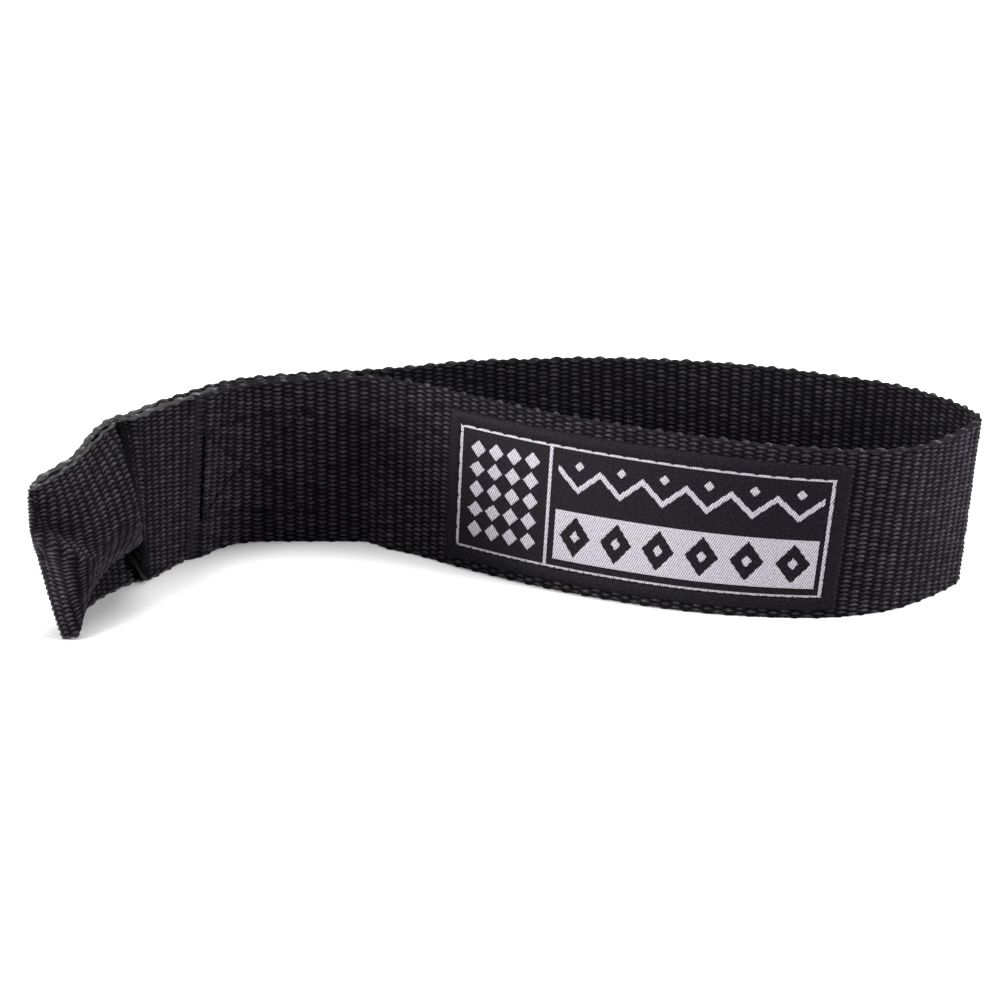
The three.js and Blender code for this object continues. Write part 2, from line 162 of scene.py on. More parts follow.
def spline(points: np.ndarray, shares: np.ndarray) -> np.ndarray:
    """Runs a centripetal curve through points.

    Args:
        points: Control points, their first axis along the curve and their last the coordinates.
        shares: Places on the curve, from 0 to 1 in equal steps from point to point.

    Returns:
        One point, or one row of points, for each share.
    """
    spans = len(points) - 1
    places = np.clip(shares, 0, 1) * spans
    first = np.minimum(places.astype(int), spans - 1)
    weight = (places - first).reshape(-1, *[1] * (points.ndim - 1))
    before = 2 * points[:1] - points[1:2]
    after = 2 * points[-1:] - points[-2:-1]
    padded = np.concatenate([before, points, after])
    p0, p1, p2, p3 = (padded[first + k] for k in range(4))

    def gap(a: np.ndarray, b: np.ndarray) -> np.ndarray:
        """Square root of the distance from a to b."""
        return ((b - a) ** 2).sum(-1, keepdims=True) ** 0.25

    least = 1e-4
    middle = gap(p1, p2)
    middle = np.where(middle < least, 1.0, middle)
    start, end = gap(p0, p1), gap(p2, p3)
    start = np.where(start < least, middle, start)
    end = np.where(end < least, middle, end)
    leave = (p1 - p0) / start - (p2 - p0) / (start + middle) + (p2 - p1) / middle
    arrive = (p2 - p1) / middle - (p3 - p1) / (middle + end) + (p3 - p2) / end
    square, cube = weight**2, weight**3
    return (
        (2 * cube - 3 * square + 1) * p1
        + (cube - 2 * square + weight) * leave * middle
        + (3 * square - 2 * cube) * p2
        + (cube - square) * arrive * middle
    )


def between_ends(points: np.ndarray, count: int) -> np.ndarray:
    """Even places on the curve through points, without its first and last spans."""
    edge = 1 / (len(points) - 1)
    return spline(points, np.linspace(edge, 1 - edge, count))


def walked(points: np.ndarray) -> np.ndarray:
    """Distance along a line of points, from 0 at the first."""
    steps = np.linalg.norm(np.diff(points, axis=0), axis=1)
    return np.concatenate([[0.0], np.cumsum(steps)])


def smooth_along(values: np.ndarray, spread: float) -> np.ndarray:
    """Smooths values along their first axis and keeps their ends.

    Args:
        values: Any array, its first axis along the strip.
        spread: Standard deviation of the bell, in samples.

    Returns:
        The smoothed array, of the same shape.
    """
    reach = int(4 * spread)
    bell = np.exp(-0.5 * (np.arange(-reach, reach + 1) / spread) ** 2)
    bell /= bell.sum()
    before = 2 * values[:1] - values[reach:0:-1]
    after = 2 * values[-1:] - values[-2 : -reach - 2 : -1]
    padded = np.concatenate([before, values, after])
    return sum(w * padded[k : k + len(values)] for k, w in enumerate(bell))


def unit(vectors: np.ndarray) -> np.ndarray:
    """Vectors scaled to length 1 along the last axis."""
    return vectors / np.linalg.norm(vectors, axis=-1, keepdims=True)


def bump(distance: np.ndarray, spread: float) -> np.ndarray:
    """Bell of height 1 at distance 0."""
    return np.exp(-0.5 * (distance / spread) ** 2)


def ramp(distance: np.ndarray, length: float) -> np.ndarray:
    """Rise from 0 at distance 0 to 1 at a length, level before and after."""
    return np.clip(distance / length, 0, 1)


@dataclass(frozen=True)
class Neck:
    """Stitched neck, measured from its inner end outwards to the end loop's seam row."""

    inner_end: tuple[float, float] = (-32.255, 24.7)
    inner_length: float = 21.0
    bend_radius: float = 16.0
    bend_angle: float = math.radians(60)
    outer_length: float = 23.0
    lean_angle: float = math.radians(6.5)
    front_end_offset: float = 16.4

    @property
    def bend_length(self) -> float:
        """Length of the bend at the middle layer."""
        return self.bend_radius * self.bend_angle

    @property
    def length(self) -> float:
        """Length from the inner end to the seam row."""
        return self.inner_length + self.bend_length + self.outer_length

    @property
    def front_end(self) -> float:
        """Distance of the front layer's cut end."""
        return self.length - self.front_end_offset

    def place(self, distance: np.ndarray) -> tuple[np.ndarray, np.ndarray, np.ndarray, np.ndarray]:
        """Finds places on the middle layer.

        Args:
            distance: Distances from the inner end.

        Returns:
            Feet on the floor, outward directions, rearward directions, and leans as slopes.
        """
        in_bend = np.clip(distance - self.inner_length, 0, self.bend_length)
        angle = in_bend / self.bend_radius
        straight = np.minimum(distance, self.inner_length)
        beyond = np.maximum(distance - self.inner_length - self.bend_length, 0)
        level = np.zeros_like(angle)
        outward = np.stack([-np.cos(angle), -np.sin(angle), level], -1)
        rearward = np.stack([-np.sin(angle), np.cos(angle), level], -1)
        foot = np.stack(
            [
                self.inner_end[0] - straight - self.bend_radius * np.sin(angle),
                self.inner_end[1] - self.bend_radius * (1 - np.cos(angle)),
                level,
            ],
            -1,
        )
        phase = np.clip(distance / self.length, 0, 1)
        lean = math.tan(self.lean_angle) * np.sin(math.pi * phase) ** 2
        return foot + outward * beyond[:, None], outward, rearward, lean

    def points(self, distance: np.ndarray, heights: np.ndarray, offset: float) -> np.ndarray:
        """Points of one layer.

        Args:
            distance: Distances from the inner end.
            heights: Heights up the webbing.
            offset: The layer's offset to the rear.

        Returns:
            Points, one row for each distance.
        """
        foot, _, rearward, lean = self.place(distance)
        ruling = unit(np.array([0.0, 0.0, 1.0]) - rearward * lean[:, None])
        return (
            foot[:, None]
            + ruling[:, None] * heights[None, :, None]
            + rearward[:, None] * offset
        )


@dataclass(frozen=True)
class Handling:
    """Creases and swells that use has pressed into the end loop.

    Places are distances along the strip or heights up its width. A spread is a bell's standard
    deviation, and a fade is the length over which a dent sets in.
    """

    crease_start: float = 2.6
    crease_slope: float = 0.72
    crease_bend: float = 0.015
    crease_lead: float = 0.6
    crease_depth: float = 1.7
    crease_fade: float = 2.0
    fine_spread: float = 0.8
    swell: float = 2.3
    swell_rise: float = 1.5
    swell_reach: float = 8.5
    swell_foot: tuple[float, float] = (-10.0, 20.0)
    swell_top: tuple[float, float] = (40.5, 8.0)
    swell_least: float = 0.3
    seam_ridge: float = 0.5
    seam_ridge_at: float = 1.7
    far_fold: float = 432.5
    far_fade: float = 3.0
    fold_middle: float = 440.0
    fold_spread: float = 4.2
    fold_depth: float = 2.0
    ridge_height: float = 26.5
    ridge_slope: float = 0.85
    ridge_spread: float = 1.8
    valley_offset: float = 6.0
    valley_spread: float = 3.0
    turn: float = 439.0
    turn_rise: float = 2.2
    turn_reach: float = 8.0
    turn_depth: float = 1.5
    turn_offset: float = 5.5
    turn_spread: float = 4.0
    near_layer: float = 434.0
    near_fade: float = 6.0
    curl: float = 1.3
    curl_height: float = 3.5
    top_height: float = 34.0
    top_fade: float = 4.0
    top_depth: float = 0.42
    push: float = 4.2
    push_at: tuple[float, float] = (432.0, 15.0)
    push_spread: tuple[float, float] = (4.6, 6.0)


@dataclass
class WebbingRoute:
    """Middle surface of the whole strip, as a grid of points with its outward directions."""

    neck: Neck = field(default_factory=Neck)
    handling: Handling = field(default_factory=Handling)
    width: float = 38.0
    layer_pitch: float = 2.0
    loop_length: float = 128.1
    loop_depth: float = 58.0
    end_loop_length: float = 35.0
    neck_step: float = 3.5
    tucked_inset: float = 1.0
    step: float = 0.5
    smoothing: float = 1.1
    height_rows: int = 39
    loop_rows: int = 1600
    end_loop_rows: int = 900
    heights: np.ndarray = field(init=False)
    grid: np.ndarray = field(init=False)
    outward: np.ndarray = field(init=False)
    stops: list[float] = field(init=False)
    length: float = field(init=False)
    foot: np.ndarray = field(init=False)
    foot_at: np.ndarray = field(init=False)

    def __post_init__(self) -> None:
        """Lays the route and works out its outward directions."""
        self.heights = np.linspace(0, self.width, self.height_rows)
        parts = [
            self.layer_points(NeckLayer.FRONT),
            self.free_loop(),
            self.layer_points(NeckLayer.REAR),
            self.end_loop(),
            self.layer_points(NeckLayer.TUCKED),
        ]
        middle = [walked(part[:, len(self.heights) // 2]) for part in parts]
        self.stops = list(np.cumsum([0.0] + [line[-1] for line in middle]))
        rows = np.concatenate([parts[0], *[part[1:] for part in parts[1:]]])
        distance = walked(rows[:, len(self.heights) // 2])
        self.foot = walked(rows[:, 0])
        self.foot_at = distance
        count = int(round(distance[-1] / self.step)) + 1
        even = np.linspace(0, distance[-1], count)
        flat = rows.reshape(len(rows), -1)
        laid = np.stack([np.interp(even, distance, column) for column in flat.T], -1)
        laid = smooth_along(laid, self.smoothing / self.step).reshape(count, -1, 3)
        self.step = float(even[1])
        self.length = float(even[-1])
        self.grid = laid
        self.outward = self.outward_directions(laid)
        dents = self.seam_dents() + self.fold_dents() - self.edge_dents()
        self.grid = laid + self.outward * dents[..., None]
        self.grid[..., 1] += self.pushed_back()
        self.outward = self.outward_directions(self.grid)

    @property
    def loop_start(self) -> float:
        """Where the main loop starts along the strip, at the neck's inner end."""
        return self.stops[1]

    @property
    def end_loop_start(self) -> float:
        """Where the end loop starts along the strip, on the rear layer."""
        return self.stops[3]

    def layer_span(self, layer: NeckLayer) -> tuple[float, float]:
        """Neck distances at which a layer starts and ends, in the strip's own direction."""
        return {
            NeckLayer.FRONT: (self.neck.front_end, 0.0),
            NeckLayer.REAR: (0.0, self.neck.length),
            NeckLayer.TUCKED: (self.neck.length, self.tucked_inset),
        }[layer]

    def layer_points(self, layer: NeckLayer) -> np.ndarray:
        """Points of one layer of the neck, in the strip's own direction.

        Args:
            layer: Which layer of the neck.

        Returns:
            Points, one row for each distance.
        """
        _, pitches, rows = layer.value
        distance = np.linspace(*self.layer_span(layer), rows)
        return self.neck.points(distance, self.heights, pitches * self.layer_pitch)

    def free_loop(self) -> np.ndarray:
        """Free part of the main loop, from the front layer round to the rear one.

        Returns:
            Points, one row for each place round the loop.
        """
        foot_level = np.zeros(1)

        def neck_end(distances: list[float], offset: float) -> tuple[np.ndarray, np.ndarray]:
            """Feet and leans of two places at the neck's inner end.

            Args:
                distances: Distances from the neck's inner end.
                offset: The layer's offset to the rear.

            Returns:
                The feet, and the leans as slopes.
            """
            at = np.array(distances)
            _, _, rearward, lean = self.neck.place(at)
            return self.neck.points(at, foot_level, offset)[:, 0], -rearward * lean[:, None]

        plan = np.array(LOOP_PLAN_SHARES)
        origin = np.array([*self.neck.inner_end, 0.0])
        level = np.zeros(len(plan))
        feet = np.stack([plan[:, 0] * self.loop_length, plan[:, 1] * self.loop_depth, level], -1)
        leans = np.stack([plan[:, 2], plan[:, 3], level], -1)
        front = neck_end([self.neck_step, 0.0], -self.layer_pitch)
        rear = neck_end([0.0, self.neck_step], self.layer_pitch)
        foot_controls = np.concatenate([front[0], feet + origin, rear[0]])
        lean_controls = np.concatenate([front[1], leans, rear[1]])
        foot = between_ends(foot_controls, self.loop_rows)
        ruling = between_ends(lean_controls, self.loop_rows)
        ruling[:, 2] = 1
        return foot[:, None] + unit(ruling)[:, None] * self.heights[None, :, None]

    def end_loop(self) -> np.ndarray:
        """End loop, out along the rear layer, round the far fold and back along the front.

        Returns:
            Points, one row for each place round the loop.
        """
        foot, outward, rearward, _ = self.neck.place(np.array([self.neck.length]))
        middle = foot[0] + rearward[0] * self.layer_pitch / 2
        seam = np.array([self.neck.length - self.neck_step, self.neck.length])

        def hoop(shares: list[list[float]], height: float) -> np.ndarray:
            """Control points of one hoop at a height share.

            Args:
                shares: The hoop's points, as in LOWER_HOOP_SHARES.
                height: Height at which it joins the neck, as a share of the width.

            Returns:
                The points, with two on the neck at each end.
            """
            along, side, up = np.array(shares).T * self.end_loop_length
            places = middle + outward[0] * along[:, None] - rearward[0] * side[:, None]
            places[:, 2] = up / self.end_loop_length * self.width
            level = np.array([height * self.width])
            rear = self.neck.points(seam, level, self.layer_pitch)[:, 0]
            front = self.neck.points(seam[::-1], level, 0)[:, 0]
            return np.concatenate([rear, places, front])

        hoops = np.stack(
            [
                hoop(LOWER_HOOP_SHARES, 0.0),
                hoop(MIDDLE_HOOP_SHARES, 0.5),
                hoop(UPPER_HOOP_SHARES, 1.0),
            ],
            1,
        )
        lines = between_ends(hoops, self.end_loop_rows)
        rows = spline(lines.transpose(1, 0, 2), self.heights / self.width).transpose(1, 0, 2)
        rows[..., 2] = np.maximum(rows[..., 2], 0)
        return rows

    def outward_directions(self, grid: np.ndarray) -> np.ndarray:
        """Directions out of the strip's outer face at each point of a grid."""
        return unit(np.cross(np.gradient(grid, axis=0), np.gradient(grid, axis=1)))

    def stations(self) -> np.ndarray:
        """Distance along the strip of each row of the grid, as a column."""
        return (np.arange(len(self.grid)) * self.step)[:, None]

    def seam_dents(self) -> np.ndarray:
        """Crease, swell and ridge beside the end loop's seam row.

        Returns:
            Distances outwards at each grid point.
        """
        use = self.handling
        along, height = self.stations(), self.heights[None, :]
        from_seam = self.from_seam(along)
        crease = self.from_crease(along, height)
        beyond = np.maximum(crease, 0)
        swell = 1 - np.exp(-((beyond / use.swell_rise) ** 2))
        swell = swell * np.exp(-((beyond / use.swell_reach) ** 2))
        swell = swell * ramp(height - use.swell_foot[0], use.swell_foot[1])
        top, top_fade = use.swell_top
        swell = swell * np.maximum(ramp(top - height, top_fade), use.swell_least)
        folded = bump(crease + use.crease_lead, use.fine_spread)
        folded = folded * ramp(from_seam, use.crease_fade)
        ridge = bump(from_seam - use.seam_ridge_at, use.fine_spread)
        return use.swell * swell - use.crease_depth * folded + use.seam_ridge * ridge

    def fold_dents(self) -> np.ndarray:
        """Ridge and valley across the end loop's far fold, and the turn of the cloth past it.

        Returns:
            Distances outwards at each grid point.
        """
        use = self.handling
        along, height = self.stations(), self.heights[None, :]
        ridge = height - use.ridge_height + use.ridge_slope * (along - use.far_fold)
        reach = bump(along - use.fold_middle, use.fold_spread)
        fold = bump(ridge, use.ridge_spread) - bump(ridge - use.valley_offset, use.valley_spread)
        past = along - use.turn
        turned = np.tanh(past / use.turn_rise)
        turned = turned * np.exp(-((np.maximum(past, 0) / use.turn_reach) ** 2))
        turned = turned * bump(ridge + use.turn_offset, use.turn_spread)
        firm = ramp(along - use.far_fold, use.far_fade)
        return (use.fold_depth * reach * fold + use.turn_depth * turned) * firm

    def edge_dents(self) -> np.ndarray:
        """Curl of the end loop's lower edge and dip of its upper edge.

        Returns:
            Distances inwards at each grid point.
        """
        use = self.handling
        along, height = self.stations(), self.heights[None, :]
        from_seam = self.from_seam(along)
        near_layer = ramp(along - use.near_layer, use.near_fade)
        curl = (1 - ramp(height, use.curl_height)) ** 2 * ramp(from_seam, use.crease_fade)
        top = ramp(height - use.top_height, use.top_fade) * ramp(from_seam, use.top_fade)
        in_end_loop = ramp(along - self.end_loop_start, use.top_fade)
        return use.curl * curl * near_layer + use.top_depth * top * in_end_loop

    def from_crease(self, along: np.ndarray, height: np.ndarray) -> np.ndarray:
        """Distances from the crease beside the seam row, positive on the end loop's side."""
        start = self.from_seam(along) - self.handling.crease_start
        return start - self.handling.crease_slope * height + self.handling.crease_bend * height**2

    def pushed_back(self) -> np.ndarray:
        """How far each grid point near the end loop's far fold is pushed to the rear.

        Returns:
            Distances to the rear at each grid point.
        """
        use = self.handling
        lengthways = bump(self.stations() - use.push_at[0], use.push_spread[0])
        return use.push * lengthways * bump(self.heights - use.push_at[1], use.push_spread[1])

    def on_layer(self, layer: NeckLayer, distance: float) -> float:
        """Finds a neck distance on one layer as a place along the strip.

        Args:
            layer: Which layer of the neck.
            distance: Distance from the neck's inner end.

        Returns:
            The distance along the strip's middle.
        """
        line = walked(self.layer_points(layer)[:, len(self.heights) // 2])
        start, end = self.layer_span(layer)
        share = (distance - start) / (end - start)
        walk = np.interp(share, np.linspace(0, 1, len(line)), line)
        return self.stops[layer.value[0]] + float(walk)

    def from_seam(self, along: np.ndarray) -> np.ndarray:
        """Distances back from the seam row at which the end loop closes."""
        return self.stops[4] - along

    def from_end(self, along: np.ndarray) -> np.ndarray:
        """Distances to the nearer cut end of the strip."""
        return np.minimum(along, self.length - along)

    def from_foot(self, distance: float) -> float:
        """Place along the strip of a distance walked along its lower edge."""
        return float(np.interp(distance, self.foot, self.foot_at))

    def at(self, along: np.ndarray, height: np.ndarray, lift: np.ndarray | float) -> np.ndarray:
        """Points on or off the strip.

        Args:
            along: Distances along the strip.
            height: Heights up its width, of the same shape.
            lift: Distances out of the middle surface.

        Returns:
            Points in millimetres, with one more axis than along.
        """
        out = self.normal(along, height) * np.asarray(lift)[..., None]
        return self.read(self.grid, along, height) + out

    def normal(self, along: np.ndarray, height: np.ndarray) -> np.ndarray:
        """Outward directions at places on the strip."""
        return unit(self.read(self.outward, along, height))

    def read(self, table: np.ndarray, along: np.ndarray, height: np.ndarray) -> np.ndarray:
        """Reads a grid table between its points, and straight on beyond its edges.

        Args:
            table: Values at the grid's points.
            along: Distances along the strip.
            height: Heights up its width, of the same shape.

        Returns:
            Values, with one more axis than along.
        """
        row = np.asarray(along) / self.step
        column = np.asarray(height) / self.heights[1]
        i = np.clip(row.astype(int), 0, table.shape[0] - 2)
        j = np.clip(column.astype(int), 0, table.shape[1] - 2)
        a, b = (row - i)[..., None], (column - j)[..., None]
        near = table[i, j] * (1 - b) + table[i, j + 1] * b
        far = table[i + 1, j] * (1 - b) + table[i + 1, j + 1] * b
        return near * (1 - a) + far * a


def add_object(name: str, data: bpy.types.ID) -> bpy.types.Object:
    """Puts a new object with its data into the scene.

    Args:
        name: The object's name.
        data: Its mesh, camera or lamp data.

    Returns:
        The new object.
    """
    thing = bpy.data.objects.new(name, data)
    bpy.context.scene.collection.objects.link(thing)
    return thing


def facing(direction: Vector) -> Euler:
    """Turn that points a camera or a lamp in a direction, with its top upwards."""
    return direction.to_track_quat("-Z", "Y").to_euler()


def make_mesh(
    name: str,
    points: np.ndarray,
    faces: list[np.ndarray],
    uvs: np.ndarray | None = None,
    smooth: bool = True,
) -> bpy.types.Object:
    """Makes a mesh object in the scene.

    Args:
        name: The piece's name.
        points: Vertices in millimetres.
        faces: Arrays of corner numbers, each with one row for each face.
        uvs: Flat coordinates for each corner of each face, in the same order.
        smooth: Whether the faces shade smoothly.

    Returns:
        The new object.
    """
    mesh = bpy.data.meshes.new(name)
    sizes = np.concatenate([np.full(len(rows), rows.shape[1]) for rows in faces])
    corners = np.concatenate([rows.ravel() for rows in faces]).astype(np.int32)
    starts = np.concatenate([[0], np.cumsum(sizes)[:-1]]).astype(np.int32)
    mesh.vertices.add(len(points))
    mesh.vertices.foreach_set("co", (points * METRES).astype(np.float32).ravel())
    mesh.loops.add(len(corners))
    mesh.loops.foreach_set("vertex_index", corners)
    mesh.polygons.add(len(sizes))
    mesh.polygons.foreach_set("loop_start", starts)
    if uvs is not None:
        layer = mesh.uv_layers.new(name="run")
        layer.uv.foreach_set("vector", uvs.astype(np.float32).ravel())
    mesh.update(calc_edges=True)
    mesh.validate()
    mesh.polygons.foreach_set("use_smooth", np.full(len(mesh.polygons), smooth))
    return add_object(name, mesh)


class Shader:
    """A node material under construction."""

    def __init__(self, name: str) -> None:
        """Starts a material with a Principled surface.

        Args:
            name: The material's name.
        """
        self.material = bpy.data.materials.new(name)
        self.material.use_nodes = True
        self.nodes = self.material.node_tree.nodes
        self.surface = self.nodes["Principled BSDF"]

    def add(
        self, kind: str, inputs: dict[object, object] | None = None, **settings: object
    ) -> bpy.types.Node:
        """Adds a node.

        Args:
            kind: Blender's type name of the node.
            inputs: Values or output sockets for its inputs, by name or number.
            **settings: The node's own settings.

        Returns:
            The new node.
        """
        node = self.nodes.new(kind)
        for name, value in settings.items():
            setattr(node, name, value)
        for socket, value in (inputs or {}).items():
            self.put(node.inputs[socket], value)
        return node

    def put(self, socket: Socket, value: object) -> None:
        """Links an output to a socket, or sets the socket's own value.

        Args:
            socket: The input.
            value: Another node's output, or a value.
        """
        if isinstance(value, Socket):
            self.material.node_tree.links.new(value, socket)
        else:
            socket.default_value = value

    def set(self, **values: object) -> None:
        """Sets inputs of the surface, with spaces in their names written as underscores."""
        for name, value in values.items():
            self.put(self.surface.inputs[name.replace("_", " ")], value)

    def run_coordinates(self) -> Socket:
        """Coordinates along and across the piece, in millimetres."""
        return self.add("ShaderNodeUVMap", uv_map="run").outputs["UV"]

    def stretched_noise(self, scale: Place, detail: float) -> Socket:
        """Noise over the piece's own run, with its own scale each way in repeats per millimetre."""
        place = self.add(
            "ShaderNodeVectorMath",
            {0: self.run_coordinates(), 1: scale},
            operation="MULTIPLY",
        )
        return self.add(
            "ShaderNodeTexNoise",
            {"Vector": place.outputs["Vector"], "Scale": 1.0, "Detail": detail},
        ).outputs["Fac"]

    def between(
        self, factor: Socket, low: float, high: float, to: tuple[float, float]
    ) -> Socket:
        """Maps a factor from low and high to two other values."""
        return self.add(
            "ShaderNodeMapRange",
            {"Value": factor, "From Min": low, "From Max": high, "To Min": to[0], "To Max": to[1]},
        ).outputs["Result"]

    def blend_colours(self, factor: Socket, first: object, second: object) -> Socket:
        """Mixes two colours by a factor.

        Args:
            factor: Share of the second colour.
            first: Colour or output at factor 0.
            second: Colour or output at factor 1.

        Returns:
            The mixed colour.
        """
        node = self.add("ShaderNodeMix", data_type="RGBA")
        self.put(node.inputs["Factor"], factor)
        self.put(node.inputs["A"], first)
        self.put(node.inputs["B"], second)
        return node.outputs["Result"]

    def sum_up(self, operation: str, *values: object) -> Socket:
        """Result of one arithmetic node on values or outputs."""
        return self.add(
            "ShaderNodeMath", dict(enumerate(values)), operation=operation
        ).outputs["Value"]

    def finish(
        self,
        colour: Socket,
        roughness: object,
        specular: float,
        relief: tuple[Socket, float, float],
    ) -> bpy.types.Material:
        """Dresses the surface and hands the material over.

        Args:
            colour: Its colour.
            roughness: Its roughness, as a number or an output.
            specular: Its specular level.
            relief: Height output, strength, and depth in millimetres of its fine relief.

        Returns:
            The finished material.
        """
        height, strength, depth = relief
        relieved = self.add(
            "ShaderNodeBump",
            {"Strength": strength, "Distance": depth * METRES, "Height": height},
        )
        self.set(
            Base_Color=colour,
            Roughness=roughness,
            Normal=relieved.outputs["Normal"],
            Specular_IOR_Level=specular,
        )
        return self.material


@dataclass(frozen=True)
class WebbingFinish:
    """Black polypropylene webbing: matt filaments with a slight sheen on the crown of each yarn,
    its colour darkened towards the hollows between the yarns as painted shade.
    """

    # Dark colour painted into the hollows between the yarns as painted shade, also used for random
    # fibre specks.
    hollow_shade_and_speck: Colour = (0.0012, 0.0011, 0.0014, 1)
    crown: Colour = (0.0345, 0.0305, 0.0388, 1)
    warm: Colour = (0.0372, 0.0286, 0.0334, 1)
    melted: Colour = (0.014, 0.0112, 0.0114, 1)
    roughness: tuple[float, float] = (0.34, 0.56)
    specular: float = 0.035
    filament: float = 0.08

    def material(self, name: str) -> bpy.types.Material:
        """Builds the webbing's material under a name.

        Args:
            name: The material's name.

        Returns:
            The finished material.
        """
        shader = Shader(name)
        height = shader.add("ShaderNodeAttribute", attribute_name="crown").outputs["Fac"]
        patches = shader.stretched_noise((0.09, 0.11, 1), 2.0)
        patchy = shader.between(patches, 0.48, 0.66, (0, 1))
        tint = shader.blend_colours(patchy, self.crown, self.warm)
        yarn = shader.stretched_noise((2.1, 3.4, 1), 2.0)
        worn = shader.blend_colours(shader.between(yarn, 0.39, 0.61, (0, 0.72)), tint, self.hollow_shade_and_speck)
        # Painted shade: the colour falls from the crown colour to the hollow colour as the crown
        # share falls, darkening the hollows between the yarns.
        woven = shader.blend_colours(shader.between(height, 0.24, 0.9, (0, 1)), self.hollow_shade_and_speck, worn)
        distance = shader.add(
            "ShaderNodeSeparateXYZ", {"Vector": shader.run_coordinates()}
        ).outputs["X"]
        colour = shader.blend_colours(
            shader.between(distance, 0.5, 1.6, (0.3, 0)), woven, self.melted
        )
        fibre = shader.stretched_noise((1.5, 14, 1), 3.0)
        gloss = shader.sum_up(
            "ADD",
            shader.between(fibre, 0.3, 0.7, self.roughness),
            shader.between(height, 0.3, 0.8, (0.45, 0)),
        )
        return shader.finish(colour, gloss, self.specular, (fibre, 0.6, self.filament))


@dataclass(frozen=True)
class ThreadFinish:
    """Black bonded sewing thread, smoother and a little glossier than the webbing."""

    colour: Colour = (0.0022, 0.002, 0.0026, 1)
    dusty: Colour = (0.0045, 0.0041, 0.0052, 1)
    roughness: tuple[float, float] = (0.5, 0.75)
    specular: float = 0.03

    def material(self) -> bpy.types.Material:
        """Builds the thread's material.

        Returns:
            The finished material.
        """
        shader = Shader("bonded_thread")
        fibre = shader.stretched_noise((1.3, 9, 1), 2.0)
        dusted = shader.between(fibre, 0.4, 0.75, (0, 1))
        colour = shader.blend_colours(dusted, self.colour, self.dusty)
        gloss = shader.between(fibre, 0.3, 0.7, self.roughness)
        return shader.finish(colour, gloss, self.specular, (fibre, 0.5, 0.03))


@dataclass(frozen=True)
class TwillFinish:
    """Woven label yarn in one colour, with the fine diagonal of its weave."""

    name: str
    raised: Colour
    sunken: Colour
    pitch: float
    angle: float
    roughness: float
    specular: float
    grain: float

    def material(self) -> bpy.types.Material:
        """Builds the label material.

        Returns:
            The finished material.
        """
        shader = Shader(self.name)
        across = 2 * math.pi / self.pitch
        wave = (across * math.cos(self.angle), across * math.sin(self.angle), 0)
        wander = shader.stretched_noise((0.9, 0.9, 1), 2.0)
        phase = shader.add(
            "ShaderNodeVectorMath", {0: shader.run_coordinates(), 1: wave}, operation="DOT_PRODUCT"
        ).outputs["Value"]
        shifted = shader.sum_up("MULTIPLY_ADD", wander, 2.0, phase)
        diagonal = shader.sum_up("SINE", shifted)
        grain = shader.stretched_noise((1.7, 2.3, 1), 1.0)
        mixed = shader.sum_up("MULTIPLY_ADD", grain, self.grain, diagonal)
        middle = self.grain / 2
        weave = shader.between(mixed, middle - 0.8, middle + 0.8, (0, 1))
        colour = shader.blend_colours(weave, self.sunken, self.raised)
        return shader.finish(colour, self.roughness, self.specular, (weave, 0.5, 0.05))


@dataclass
class SeamLine:
    """A row of lockstitches through the strip, given by its corners on the strip.

    The corners are distances along the strip and heights up its width.
    """

    corners: list[tuple[float, float]]
    stitch: float
    face: Face

    def needle_points(self) -> np.ndarray:
        """Places of the needle holes, evenly spread over each side of the row.

        Returns:
            Distances along the strip and heights up its width, one row for each hole.
        """
        points = [np.array(self.corners[0])]
        for start, end in zip(self.corners, self.corners[1:]):
            a, b = np.array(start), np.array(end)
            count = max(1, round(float(np.linalg.norm(b - a)) / self.stitch))
            points += [a + (b - a) * k / count for k in range(1, count + 1)]
        return np.array(points)


